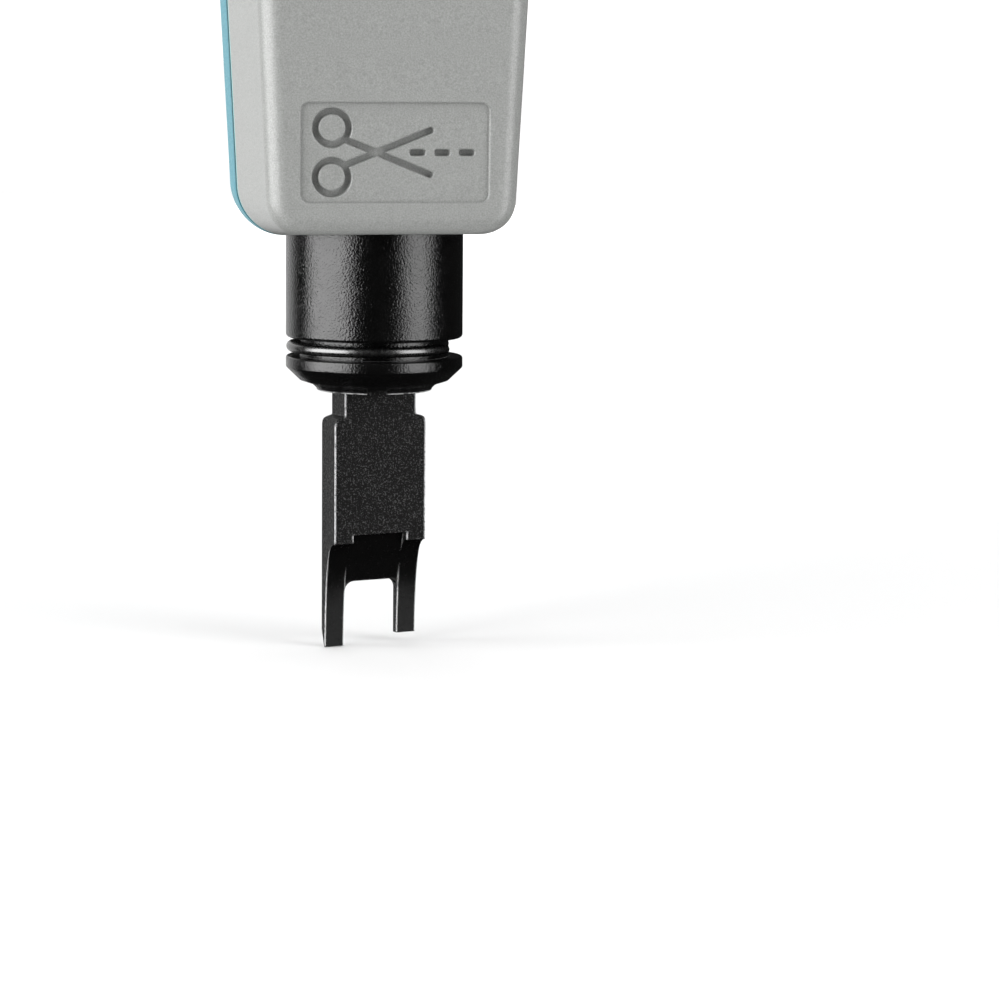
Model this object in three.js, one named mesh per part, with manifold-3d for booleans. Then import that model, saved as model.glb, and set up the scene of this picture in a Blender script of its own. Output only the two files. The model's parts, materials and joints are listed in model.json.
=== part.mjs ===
// Impact punch down tool: it seats wires in insulation displacement contacts and trims them.
// Millimetres, +Z up. The tool stands blade down along Z, and its handle's front faces -Y.
// The origin is on the tool's axis, at the level of the blade's tips.
import * as THREE from 'three';
import { mergeVertices } from 'three/addons/utils/BufferGeometryUtils.js';
import Module from 'manifold-3d';

// ---------------------------------------------------------------- driving dimensions
const GAP = 0.3; // clearance between neighbouring pieces
const OVERCUT = 1; // how far a cutting solid runs past the face it cuts

// levels along the axis
const Z_LIP = 25.7; // lower end of the barrel
const Z_HANDLE = 41.55; // lower end of the handle
const Z_STRAIGHT = 65; // the handle's sides are straight up to here
const Z_WIDEST = 120; // the handle's widest level
const Z_CAP = 172; // parting line between handle and end cap
const Z_TOP = 185; // top of the end cap

// handle section at its lower end
const HALF_WIDTH = 12.05; // at the front face
const FRONT_DEPTH = 10.85; // from the axis to the front face
const BACK_DEPTH = 13.0; // from the axis to the back
const CORNER_R = 1.9; // fillet along the front face
const SIDE_DRAFT = THREE.MathUtils.degToRad(3.4);
const SIDE_WIDEST_Y = 7.2; // where the sides turn into the rounded back
const SEAM_Y = 4.4; // parting plane between the two shells
const END_FILLET_X = 3.1; // rounding of the lower end at the front face, seen from the front
const END_FILLET_GROWTH = 0.08; // how much that rounding grows per millimetre toward the back
const END_FILLET_Y = 1.7; // rounding of the lower end, seen from the side
const END_SLANT = 0.05; // the lower end drops this much per millimetre toward the back
const END_SLANT_HEIGHT = 10; // the slant fades out over this height

// how the section grows upward: [slope of the straight stretch, widest value, value at the cap]
const WIDTH_GROWTH = [0.049, 15.9, 14.3];
const FRONT_GROWTH = [0.03, 13.5, 12.3];
const BACK_GROWTH = [0.02, 14.8, 13.4];

// sunk panel on the front face
const PANEL = { width: 18.2, height: 9.4, z: 49.45, depth: 0.3, corner: 0.7 };
const ENGRAVING = { depth: 1.0, stroke: 0.7, eye: 1.6 };

// barrel
const BARREL_R = 8.75;
const NECK_R = 7.1; // floor of the ring groove
const SOCKET_R = 4.9;
const SOCKET_TOP = 40;
const KEYWAY = { r: 6.4, width: 1.9, angle: 262.5 }; // bayonet keyways, degrees about Z
const LOCK_GROOVE = [32.2, 34.6]; // the turned blade's lugs lie in this groove
const RING_GROOVE = [29.1, 30.95];
const PLUNGER_FLANGE = { r: 9.85, z: [59.4, 61.6] };
const PLUNGER_TOP = 66;

// blade
const BLADE_TURN = 16; // degrees about Z, as it is locked in the socket
const BLADE = { width: 10, neck: 7.8, thickness: 3, tip: 0, step: 10.6, shoulder: 23.1, top: 38 };
const SPARE = { width: 9.4, neck: 7.2, thickness: 2.6, tip: 141, step: 9.5, shoulder: 23, top: 38 };
const PRONG_GAP = 5.9; // between the two prongs
const WEB_LOW = 6.5; // lower edge of the web between the prongs
const NECK_TOP = 27.6; // the flat neck ends inside the round shank
const SHANK_R = 4.6;
const LUG = { r: 6.1, width: 1.3, z: [32.5, 34.3] };

// C-shaped wire ring: it sits a little off the axis, its gap opposite the pin
const RING = { r: 7.95, wire: 0.5, offset: -0.25, gapHalf: 26 };
const RING_CENTRE_Z = (RING_GROOVE[0] + RING_GROOVE[1]) / 2;
const RING_TURN = -11; // degrees about Z

// hollow of the handle
const NOSE_R = 9.1;
const SEAL_GROOVE = [54, 56];
const CHAMBER = [57.6, 77.2];
const CHAMBER_R = 10.2;
const TUBE = { outer: 7.8, inner: 6.7, z: [77.5, 134] };
const BAY_R = 6.6; // bay of the spare blade
const MOUTH_R = 8.9; // wider mouth of the bay, for the cap's plug
const BAY_Z = 137;
const MOUTH_Z = 160.5;

// striking mechanism
const STEM_R = 2.5;
const STEM_TOP = 84;
const LATCH = { r: 4.6, offset: 1.2, z: [84.3, 86.1] };
const HAMMER = { nose: 4.6, body: 6.4, z: [86.4, 97.5, 104] };
const SEAT_Z = [124.3, 127.7];
const SELECTOR = { width: 9.6, height: 14, stem: 4, stemHeight: 3, z: 126, travel: 5, face: 14.8 };

const FORCE_MARKS = [{ r: 0.75, z: 136.5 }, { r: 1.35, z: 110.1 }];

// end cap
const PLUG_R = MOUTH_R - GAP;
const PLUG_LOW = 161;
const CAP_BORE = { r: 6.7, top: 182.5 };
const SEAL = { groove: 7.7, low: 165.2, high: 167.8 };
const CAP_DOME = 5.5;

// screws that close the shells: [x, z]
const SCREWS = [[-11, 83], [11, 83], [-11.8, 127], [11.8, 127]];
const SCREW = { head: 2.2, shank: 1.3, bore: 1.6, sink: 2.6, seatY: 6.6, headTop: 8.7, tip: -5 };

// grip grooves on the back
const GRIP = { first: 92, count: 9, pitch: 6.5, width: 2.2, depth: 0.75 };

// ---------------------------------------------------------------- materials
const material = (color, roughness, metalness) =>
  new THREE.MeshStandardMaterial({ color, roughness, metalness });

const greyPlastic = () => material(0xa7a9a5, 0.55, 0);
const tealPlastic = () => material(0x3fb2c4, 0.45, 0);
const blackBarrel = () => material(0x151515, 0.32, 0.6);
const blackBlade = () => material(0x262626, 0.5, 0.5);
const wire = () => material(0x2b2b2c, 0.3, 0.9);
const steel = () => material(0xb4b6b8, 0.35, 0.9);
const brass = () => material(0xb08d4a, 0.35, 0.9);
const rubber = () => material(0x1b1b1b, 0.85, 0);
const darkPlastic = () => material(0x303336, 0.6, 0);

// ---------------------------------------------------------------- solids
const wasm = await Module();
wasm.setup();

// A closed geometry as a solid. Triangles that merging closes up, as on an axis, are left out.
function solid(geometry) {
  const bare = geometry.clone();
  bare.deleteAttribute('normal');
  bare.deleteAttribute('uv');
  const merged = mergeVertices(bare, 1e-4);
  const index = merged.index.array;
  const triangles = [];
  for (let i = 0; i < index.length; i += 3) {
    const [a, b, c] = [index[i], index[i + 1], index[i + 2]];
    if (a !== b && b !== c && c !== a) triangles.push(a, b, c);
  }
  return new wasm.Manifold(new wasm.Mesh({
    numProp: 3,
    vertProperties: new Float32Array(merged.attributes.position.array),
    triVerts: new Uint32Array(triangles),
  }));
}

const cut = (body, ...tools) => tools.reduce((rest, tool) => rest.subtract(tool), body);
const join = (body, ...others) => others.reduce((all, other) => all.add(other), body);

// A turned piece about Z from [radius, z] points that go up its outside.
function turned(points, segments = 36) {
  const profile = points.map(([r, z]) => new THREE.Vector2(r, z));
  return solid(new THREE.LatheGeometry(profile, segments).rotateX(Math.PI / 2));
}

const disc = (r, low, high, segments) =>
  turned([[0, low], [r, low], [r, high], [0, high]], segments);

const ring = (inner, outer, low, high, segments) =>
  turned([[inner, low], [outer, low], [outer, high], [inner, high], [inner, low]], segments);

function block([x0, x1], [y0, y1], [z0, z1]) {
  const box = new THREE.BoxGeometry(x1 - x0, y1 - y0, z1 - z0);
  return solid(box.translate((x0 + x1) / 2, (y0 + y1) / 2, (z0 + z1) / 2));
}

// A round bar along Y.
function barAlongY(r, x, [y0, y1], z, segments = 20) {
  const bar = new THREE.CylinderGeometry(r, r, y1 - y0, segments);
  return solid(bar.translate(x, (y0 + y1) / 2, z));
}

const turnedAboutZ = (body, degrees) => body.rotate([0, 0, degrees]);

function extruded(points, depth) {
  const shape = new THREE.Shape(points.map(([x, y]) => new THREE.Vector2(x, y)));
  return new THREE.ExtrudeGeometry(shape, { depth, bevelEnabled: false });
}

// A flat outline in X and Z, extruded along Y from y0 to y1.
const plateAlongY = (points, y0, y1) =>
  solid(extruded(points, y1 - y0).rotateX(Math.PI / 2).translate(0, y1, 0));

// A flat outline in Y and Z, extruded along X from x0 to x1.
function plateAlongX(points, x0, x1) {
  const plate = extruded(points, x1 - x0);
  return solid(plate.rotateX(Math.PI / 2).rotateZ(Math.PI / 2).translate(x0, 0, 0));
}

function roundedRectangle(width, height, r, steps = 4) {
  const points = [];
  const corners = [[1, -1, 270], [1, 1, 0], [-1, 1, 90], [-1, -1, 180]];
  for (const [sx, sy, start] of corners) {
    for (let i = 0; i <= steps; i++) {
      const angle = THREE.MathUtils.degToRad(start + (90 * i) / steps);
      points.push([
        sx * (width / 2 - r) + r * Math.cos(angle),
        sy * (height / 2 - r) + r * Math.sin(angle),
      ]);
    }
  }
  return points;
}

// ---------------------------------------------------------------- handle body
// Smooth curve from (a, va) with slope ma to (b, vb) with slope mb.
function hermite(z, a, va, ma, b, vb, mb) {
  const t = (z - a) / (b - a);
  const span = b - a;
  const rise = t * t * (3 - 2 * t);
  const start = t * (1 - t) * (1 - t) * span * ma;
  const end = t * t * (t - 1) * span * mb;
  return va + (vb - va) * rise + start + end;
}

// A handle dimension at level z: straight, then out to its widest, then in to the cap.
function grown(base, [slope, widest, atCap], z) {
  if (z <= Z_STRAIGHT) return base + slope * (z - Z_HANDLE);
  const straight = base + slope * (Z_STRAIGHT - Z_HANDLE);
  if (z <= Z_WIDEST) return hermite(z, Z_STRAIGHT, straight, slope, Z_WIDEST, widest, 0);
  return hermite(z, Z_WIDEST, widest, 0, Z_CAP, atCap, -0.02);
}

const halfWidth = (z) => grown(HALF_WIDTH, WIDTH_GROWTH, z);
const frontDepth = (z) => grown(FRONT_DEPTH, FRONT_GROWTH, z);
const backDepth = (z) => grown(BACK_DEPTH, BACK_GROWTH, z);

// How far a fillet of radius r draws the wall in at height h above the filleted end.
const filletInset = (h, r) => (h >= r ? 0 : r - Math.sqrt(r * r - (r - h) ** 2));

// The handle's outline at its lower end, before the end fillets.
function handleOutline() {
  const right = [];
  for (let i = 0; i <= 5; i++) {
    const angle = -Math.PI / 2 + ((Math.PI / 2 - SIDE_DRAFT) * i) / 5;
    right.push([
      HALF_WIDTH - CORNER_R + CORNER_R * Math.cos(angle),
      -FRONT_DEPTH + CORNER_R + CORNER_R * Math.sin(angle),
    ]);
  }
  const sideX = HALF_WIDTH + (SIDE_WIDEST_Y + FRONT_DEPTH - CORNER_R) * Math.tan(SIDE_DRAFT);
  const back = new THREE.CubicBezierCurve(
    new THREE.Vector2(sideX, SIDE_WIDEST_Y),
    new THREE.Vector2(sideX + 0.15, 11.2),
    new THREE.Vector2(9.2, BACK_DEPTH),
    new THREE.Vector2(0, BACK_DEPTH),
  );
  right.push([HALF_WIDTH + (SEAM_Y + FRONT_DEPTH - CORNER_R) * Math.tan(SIDE_DRAFT), SEAM_Y]);
  for (const point of back.getPoints(8)) right.push([point.x, point.y]);
  const left = right.slice(0, -1).reverse().map(([x, y]) => [-x, y]);
  return [...right, ...left];
}

// Rounding of the handle's lower end at depth y of the outline.
const endFillet = (y) => END_FILLET_X + END_FILLET_GROWTH * (y + FRONT_DEPTH);

// How far the slanted lower end lies below its front edge, at depth y and height h above it.
function endDrop(y, h) {
  const fade = Math.max(0, 1 - h / END_SLANT_HEIGHT);
  return END_SLANT * (y + FRONT_DEPTH) * fade * fade;
}

// The outline swept through levels. Each station is { z, x, front, back } with the half-width
// and the two depths that the section has there, and h, the height above the handle's lower end.
function swept(stations) {
  const shape = new THREE.Shape(handleOutline().map(([x, y]) => new THREE.Vector2(x, y)));
  const steps = stations.length - 1;
  const geometry = new THREE.ExtrudeGeometry(shape, { depth: 1, steps, bevelEnabled: false });
  const position = geometry.attributes.position;
  for (let i = 0; i < position.count; i++) {
    const station = stations[Math.round(position.getZ(i) * steps)];
    const y = position.getY(i);
    const depthScale = y < 0 ? station.front / FRONT_DEPTH : station.back / BACK_DEPTH;
    const h = station.h ?? Infinity;
    const halfWidthHere = station.x - filletInset(h, endFillet(y));
    const x = (position.getX(i) * halfWidthHere) / HALF_WIDTH;
    position.setXYZ(i, x, y * depthScale, station.z - endDrop(y, h));
  }
  return solid(geometry);
}

// The section at level z, drawn in by inset x on the sides and inset y on front and back.
const station = (z, insetX, insetY) => ({
  z,
  x: halfWidth(Math.min(z, Z_CAP)) - insetX,
  front: frontDepth(Math.min(z, Z_CAP)) - insetY,
  back: backDepth(Math.min(z, Z_CAP)) - insetY,
});

// Levels from low to high, dense over both end fillets and even between them.
function levels(low, lowFillet, high, highFillet, spacing) {
  const ease = [0, 0.03, 0.12, 0.3, 0.6, 1];
  const list = ease.map((share) => low + share * lowFillet);
  const span = high - highFillet - (low + lowFillet);
  const count = Math.max(1, Math.round(span / spacing));
  for (let i = 1; i <= count; i++) list.push(low + lowFillet + (span * i) / count);
  return [...list, ...ease.slice(0, -1).reverse().map((share) => high - share * highFillet)];
}

function handleBody() {
  const topEdge = 0.5;
  return swept(levels(Z_HANDLE, endFillet(BACK_DEPTH), Z_CAP, topEdge, 9).map((z) => {
    const atTop = filletInset(Z_CAP - z, topEdge);
    const atEnd = filletInset(z - Z_HANDLE, END_FILLET_Y);
    return { ...station(z, atTop, atTop + atEnd), h: z - Z_HANDLE };
  }));
}

const frontHalf = () => block([-30, 30], [-30, SEAM_Y - GAP / 2], [0, 200]);
const rearHalf = () => block([-30, 30], [SEAM_Y + GAP / 2, 30], [0, 200]);

// Everything hollow inside the two shells, as one turned solid.
function handleHollow() {
  const low = Z_HANDLE - endDrop(BACK_DEPTH, 0) - OVERCUT;
  return turned([
    [0, low], [NOSE_R, low],
    [NOSE_R, SEAL_GROOVE[0]], [CHAMBER_R, SEAL_GROOVE[0]],
    [CHAMBER_R, SEAL_GROOVE[1]], [NOSE_R, SEAL_GROOVE[1]],
    [NOSE_R, CHAMBER[0]], [CHAMBER_R, CHAMBER[0]],
    [CHAMBER_R, CHAMBER[1]], [TUBE.outer + GAP, CHAMBER[1]],
    [TUBE.outer + GAP, TUBE.z[1] + GAP], [0, TUBE.z[1] + GAP],
  ], 36);
}

const bladeBay = () => turned([
  [0, BAY_Z], [BAY_R, BAY_Z], [BAY_R, MOUTH_Z], [MOUTH_R, MOUTH_Z],
  [MOUTH_R, Z_CAP + OVERCUT], [0, Z_CAP + OVERCUT],
], 36);

const screwBores = () =>
  SCREWS.map(([x, z]) => barAlongY(SCREW.bore, x, [SCREW.tip - OVERCUT, 20], z));

const screwSinks = () =>
  SCREWS.map(([x, z]) => barAlongY(SCREW.sink, x, [SCREW.seatY - GAP, 20], z));

// Lays a solid drawn on the XY plane, its face up +Z, on the handle's front at level z.
function onFront(body, z, slope) {
  const tilt = THREE.MathUtils.radToDeg(Math.atan(slope));
  return body.rotate([90 + tilt, 0, 0]).translate([0, -frontDepth(z), z]);
}

const flat = (points, low, high) => solid(extruded(points, high - low).translate(0, 0, low));

const placed = (points, x, y, degrees = 0) => {
  const angle = THREE.MathUtils.degToRad(degrees);
  return points.map(([px, py]) => [
    x + px * Math.cos(angle) - py * Math.sin(angle),
    y + px * Math.sin(angle) + py * Math.cos(angle),
  ]);
};

// Engraved picture of a pair of shears and a dashed line: it marks the trimming side.
function shearsPicture() {
  const { depth, stroke, eye: eyeR } = ENGRAVING;
  const low = -depth;
  const high = OVERCUT;
  const bar = (length, x, y, degrees) =>
    flat(placed(roundedRectangle(length, stroke, stroke * 0.3, 2), x, y, degrees), low, high);
  const eye = (x, y) =>
    ring(eyeR - stroke / 2, eyeR + stroke / 2, low, high, 28).translate([x, y, 0]);
  const shears = [
    eye(-6.1, 2.35),
    eye(-6.1, -2.35),
    bar(9.2, -0.55, 0.5, 22),
    bar(9.2, -0.55, -0.5, -22),
  ];
  const dashes = [2.2, 4.6, 7.0].map((x) => bar(1.5, x, 0, 0));
  return join(...shears, ...dashes);
}

function panelCut() {
  const sunk = flat(roundedRectangle(PANEL.width, PANEL.height, PANEL.corner), -PANEL.depth, 1);
  return onFront(join(sunk, shearsPicture()), PANEL.z, FRONT_GROWTH[0]);
}

// Track of the force selector: a sunk field and a slot through to the guide tube.
function selectorTrack() {
  const { z, travel, width, height, stem, stemHeight } = SELECTOR;
  const fieldFloor = SELECTOR.face - 2.2;
  const field = [z - travel - height / 2 - GAP, z + height / 2 + GAP];
  const slot = [z - travel - stemHeight / 2 - GAP, z + stemHeight / 2 + GAP];
  return join(
    block([-width / 2 - GAP, width / 2 + GAP], [-20, -fieldFloor], field),
    block([-stem / 2 - GAP, stem / 2 + GAP], [-20, 0], slot),
  );
}

// A small and a large round mark at the ends of the track, for low and high force.
const forceMarks = () => FORCE_MARKS.map(({ r, z }) => {
  const face = -frontDepth(z);
  return barAlongY(r, 0, [face - OVERCUT, face + 0.4], z, 24);
});

function frontShell() {
  const body = handleBody().intersect(frontHalf());
  const marks = join(panelCut(), ...forceMarks());
  return cut(body, handleHollow(), bladeBay(), marks, selectorTrack(), ...screwBores());
}

// Ring-shaped grooves of even depth around the back.
function gripGrooves() {
  const { first, count, pitch, width, depth } = GRIP;
  const last = first + (count - 1) * pitch;
  const inner = swept(levels(first - width, 0.5, last + width, 0.5, 9).map(
    (z) => station(z, depth, depth),
  ));
  const slabs = [];
  for (let i = 0; i < count; i++) {
    const z = first + i * pitch;
    slabs.push(block([-9.5, 9.5], [SEAM_Y + 1, 20], [z - width / 2, z + width / 2]));
  }
  return join(...slabs).subtract(inner);
}

function rearShell() {
  const body = handleBody().intersect(rearHalf());
  return cut(body, handleHollow(), bladeBay(), gripGrooves(), ...screwBores(), ...screwSinks());
}

function shellScrew([x, z]) {
  const head = barAlongY(SCREW.head, x, [SCREW.seatY, SCREW.headTop], z, 24);
  const shank = barAlongY(SCREW.shank, x, [SCREW.tip, SCREW.seatY + 0.5], z);
  const drive = ['x', 'z'].map((axis) => {
    const long = 1.3;
    const short = 0.3;
    const alongX = axis === 'x' ? long : short;
    const alongZ = axis === 'x' ? short : long;
    const yRange = [SCREW.headTop - 1.1, SCREW.headTop + OVERCUT];
    return block([x - alongX, x + alongX], yRange, [z - alongZ, z + alongZ]);
  });
  return cut(join(head, shank), ...drive);
}

// ---------------------------------------------------------------- plunger
function plungerBody() {
  const edge = 0.35; // small rounding of the barrel's lower edge
  const [grooveLow, grooveHigh] = RING_GROOVE;
  const flange = PLUNGER_FLANGE;
  const outside = turned([
    [0, Z_LIP], [5.7, Z_LIP], [6.2, 26.3], [7.4, 26.7], [BARREL_R, 28],
    [BARREL_R, grooveLow], [NECK_R, grooveLow], [NECK_R, grooveHigh],
    [BARREL_R - edge, grooveHigh], [BARREL_R - 0.1, grooveHigh + 0.1],
    [BARREL_R, grooveHigh + edge],
    [BARREL_R, flange.z[0]], [flange.r, flange.z[0]], [flange.r, flange.z[1]],
    [5.2, flange.z[1]], [5.2, PLUNGER_TOP], [0, PLUNGER_TOP],
  ], 48);
  const socket = disc(SOCKET_R, Z_LIP - OVERCUT, SOCKET_TOP, 40);
  const lockGroove = disc(KEYWAY.r, LOCK_GROOVE[0], LOCK_GROOVE[1], 40);
  const keyway = block(
    [-KEYWAY.r, KEYWAY.r],
    [-KEYWAY.width / 2, KEYWAY.width / 2],
    [Z_LIP - OVERCUT, LOCK_GROOVE[1]],
  );
  const stemBore = disc(STEM_R + GAP, 52, PLUNGER_TOP + OVERCUT, 28);
  const pinBore = solid(new THREE.CylinderGeometry(0.7, 0.7, 4, 16))
    .rotate([0, 0, 90]).translate([-6.4, 0, RING_CENTRE_Z]);
  return cut(
    outside, socket, lockGroove, turnedAboutZ(keyway, KEYWAY.angle), stemBore,
    turnedAboutZ(pinBore, RING_TURN),
  );
}

function detentRing() {
  class RingPath extends THREE.Curve {
    getPoint(t, target = new THREE.Vector3()) {
      const angle = THREE.MathUtils.degToRad(RING.gapHalf + t * (360 - 2 * RING.gapHalf));
      return target.set(RING.r * Math.cos(angle), RING.r * Math.sin(angle), 0);
    }
  }
  const section = new THREE.Shape().absarc(0, 0, RING.wire, 0, Math.PI * 2);
  const options = { steps: 32, curveSegments: 4, bevelEnabled: false, extrudePath: new RingPath() };
  const tube = solid(new THREE.ExtrudeGeometry(section, options));
  return turnedAboutZ(tube.translate([RING.offset, 0, RING_CENTRE_Z]), RING_TURN);
}

function detentPin() {
  const pin = solid(new THREE.CylinderGeometry(0.4, 0.4, 2.1, 14));
  return turnedAboutZ(pin.rotate([0, 0, 90]).translate([-6.1, 0, RING_CENTRE_Z]), RING_TURN);
}

const strikerStem = () => turned([
  [0, 52.3], [STEM_R, 52.3], [STEM_R, STEM_TOP - 0.5], [STEM_R - 0.5, STEM_TOP], [0, STEM_TOP],
], 28);

// ---------------------------------------------------------------- blades
// A blade drawn facing -Y with its tips at z = 0: a flat body, ground thin below the step, two
// prongs with a web between them, and a round shank with two bayonet lugs.
function bladeShape({ width, neck, thickness, step, shoulder, top }) {
  const half = width / 2;
  const neckHalf = neck / 2;
  const back = thickness / 2;
  const outline = plateAlongY([
    [-half, 0], [half, 0], [half, shoulder - 0.7], [half - 0.15, shoulder - 0.25],
    [half - 0.5, shoulder], [neckHalf, shoulder + 0.2], [neckHalf, NECK_TOP],
    [-neckHalf, NECK_TOP], [-neckHalf, shoulder + 0.2], [-half + 0.5, shoulder],
    [-half + 0.15, shoulder - 0.25], [-half, shoulder - 0.7],
  ], -back, back);
  const grindFront = plateAlongX([
    [-back - OVERCUT, step], [-back, step], [-back + 0.8, step - 0.35], [-back + 1.35, step - 0.9],
    [-back + 1.65, step - 2.1], [-back + 1.95, step - 4.4], [-back + 2.15, 3],
    [-back + 2.3, -OVERCUT], [-back - OVERCUT, -OVERCUT],
  ], -half - OVERCUT, half + OVERCUT);
  const gapHalf = PRONG_GAP / 2;
  const webRelief = block(
    [-gapHalf, gapHalf], [-back - OVERCUT, back - 1.05], [-OVERCUT, step + 0.8],
  );
  const throughGap = plateAlongY([
    [-gapHalf, -OVERCUT], [gapHalf, -OVERCUT], [gapHalf, WEB_LOW - 1], [gapHalf - 1, WEB_LOW],
    [-gapHalf + 1, WEB_LOW], [-gapHalf, WEB_LOW - 1],
  ], -back - OVERCUT, back + OVERCUT);
  const bluntTip = block(
    [gapHalf - 0.1, half + OVERCUT], [-back - OVERCUT, back + OVERCUT], [-OVERCUT, 0.9],
  );
  const cuttingBevel = plateAlongX([
    [back + OVERCUT, 1.7], [back, 1.7], [back - 0.55, -0.01], [back - 0.55, -OVERCUT],
    [back + OVERCUT, -OVERCUT],
  ], -half - OVERCUT, -gapHalf + 0.1);
  const lug = block([-LUG.r, LUG.r], [-LUG.width / 2, LUG.width / 2], LUG.z);
  const shank = turned([
    [0, 27], [SHANK_R - 0.4, 27], [SHANK_R, 27.4], [SHANK_R, top - 0.6], [SHANK_R - 0.6, top],
    [0, top],
  ], 32);
  return join(cut(outline, grindFront, webRelief, throughGap, bluntTip, cuttingBevel), shank, lug);
}

// ---------------------------------------------------------------- mechanism in the handle
const noseSeal = () => ring(NOSE_R, CHAMBER_R - GAP, SEAL_GROOVE[0] + GAP, SEAL_GROOVE[1] - GAP, 40);
const strokeBumper = () => ring(NOSE_R, CHAMBER_R - GAP, CHAMBER[0] + GAP, 59.1, 40);

const springSleeve = (inner, outer, low, high) => ring(inner, outer, low, high, 28);

const guideBush = () => turned([
  [STEM_R + GAP, 75], [CHAMBER_R - GAP, 75], [CHAMBER_R - GAP, CHAMBER[1] - GAP],
  [TUBE.inner - GAP, CHAMBER[1] - GAP], [TUBE.inner - GAP, 80.5], [STEM_R + GAP, 80.5],
  [STEM_R + GAP, 75],
], 36);

function guideTube() {
  const { z, travel, stem, stemHeight } = SELECTOR;
  const slot = [z - travel - stemHeight / 2 - GAP, z + stemHeight / 2 + GAP];
  const tube = ring(TUBE.inner, TUBE.outer, TUBE.z[0], TUBE.z[1], 40);
  return cut(tube, block([-stem / 2 - GAP, stem / 2 + GAP], [-20, 0], slot));
}

const tripRing = () => turned([
  [6.1, 92], [TUBE.inner - GAP, 92], [TUBE.inner - GAP, 96], [5, 96], [5, 95], [6.1, 92],
], 32);

function latchPlate() {
  const plate = ring(STEM_R + GAP, LATCH.r, LATCH.z[0], LATCH.z[1], 28);
  return plate.translate([LATCH.offset, 0, 0]);
}

function hammer() {
  const [low, collar, high] = HAMMER.z;
  const bore = 96.5;
  return turned([
    [STEM_R + GAP, low], [HAMMER.nose, low], [HAMMER.nose, collar], [HAMMER.body, collar],
    [HAMMER.body, high - 0.5], [HAMMER.body - 0.5, high], [0, high],
    [0, bore], [STEM_R + GAP, bore], [STEM_R + GAP, low],
  ], 32);
}

function springSeat() {
  const seat = disc(TUBE.inner - GAP, SEAT_Z[0], SEAT_Z[1], 32);
  const half = SELECTOR.stem / 2 + GAP;
  return cut(seat, block([-half, half], [-20, -3.5], [SEAT_Z[0] - 1, SEAT_Z[1] + 1]));
}

// An outline in X and Z about level z, from y0 to y1.
const onXZ = (points, y0, y1, z) => plateAlongY(points.map(([x, h]) => [x, h + z]), y0, y1);

function forceSelector() {
  const { width, height, stem, stemHeight, z, face } = SELECTOR;
  const plate = onXZ(roundedRectangle(width, height, 1.2, 3), -face + 0.9, -face + 1.9, z);
  const ribs = [-3.6, -1.8, 0, 1.8, 3.6].map((dz) =>
    block([-width / 2 + 1, width / 2 - 1], [-face, -face + 1.2], [z + dz - 0.45, z + dz + 0.45]));
  const stemBlock = block(
    [-stem / 2, stem / 2], [-face + 1.5, -3.5 - GAP], [z - stemHeight / 2, z + stemHeight / 2],
  );
  return join(plate, ...ribs, stemBlock);
}

const guideTubePlug = () => disc(TUBE.inner - GAP, 130.7, TUBE.z[1] - GAP, 32);

// ---------------------------------------------------------------- end cap and spare blade
function storageCap() {
  const low = Z_CAP + GAP;
  const edge = 0.5;
  const dome = swept(levels(low, edge, Z_TOP, CAP_DOME, 4).map((z) => {
    const inset = filletInset(z - low, edge) + filletInset(Z_TOP - z, CAP_DOME);
    return station(z, inset, inset);
  }));
  const plug = turned([
    [0, PLUG_LOW], [PLUG_R - 0.4, PLUG_LOW], [PLUG_R, PLUG_LOW + 0.4], [PLUG_R, SEAL.low],
    [SEAL.groove, SEAL.low], [SEAL.groove, SEAL.high], [PLUG_R, SEAL.high],
    [PLUG_R, low + 1], [0, low + 1],
  ], 44);
  return cut(join(dome, plug), disc(CAP_BORE.r, PLUG_LOW - OVERCUT, CAP_BORE.top, 40));
}

const capSeal = () => ring(SEAL.groove + GAP, MOUTH_R - 0.15, SEAL.low + GAP, SEAL.high - GAP, 40);
const bladeCradle = () => ring(SOCKET_R, CAP_BORE.r - GAP, 165, 173, 32);

// ---------------------------------------------------------------- assembly
const tool = new THREE.Group();
tool.name = 'punch_down_tool';

function addPiece(name, body, look, place = {}) {
  const { vertProperties, triVerts } = body.getMesh();
  const geometry = new THREE.BufferGeometry();
  geometry.setAttribute('position', new THREE.BufferAttribute(vertProperties, 3));
  geometry.setIndex(new THREE.BufferAttribute(triVerts, 1));
  geometry.computeVertexNormals();
  const mesh = new THREE.Mesh(geometry, look);
  mesh.name = name;
  mesh.position.z = place.z ?? 0;
  mesh.rotation.z = THREE.MathUtils.degToRad(place.turn ?? 0);
  tool.add(mesh);
}

addPiece('front_shell', frontShell(), greyPlastic());
addPiece('rear_shell', rearShell(), tealPlastic());
SCREWS.forEach((place, i) => addPiece(`shell_screw_${i + 1}`, shellScrew(place), steel()));
addPiece('nose_seal', noseSeal(), rubber());
addPiece('stroke_bumper', strokeBumper(), rubber());
addPiece('guide_bush', guideBush(), brass());
addPiece('guide_tube', guideTube(), steel());
addPiece('trip_ring', tripRing(), steel());
addPiece('guide_tube_plug', guideTubePlug(), steel());

addPiece('plunger_body', plungerBody(), blackBarrel());
addPiece('detent_ring', detentRing(), wire());
addPiece('detent_pin', detentPin(), steel());
addPiece('striker_stem', strikerStem(), steel());
addPiece('return_spring', springSleeve(6.2, 9.6, PLUNGER_FLANGE.z[1] + GAP, 75 - GAP), steel());
addPiece('punch_blade', bladeShape(BLADE), blackBlade(), { turn: BLADE_TURN });

addPiece('hammer', hammer(), steel());
addPiece('latch_plate', latchPlate(), steel());
addPiece('main_spring', springSleeve(3.2, 6.2, HAMMER.z[2] + GAP, SEAT_Z[0] - GAP), steel());
addPiece('spring_seat', springSeat(), steel());
addPiece('force_selector', forceSelector(), darkPlastic());

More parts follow.
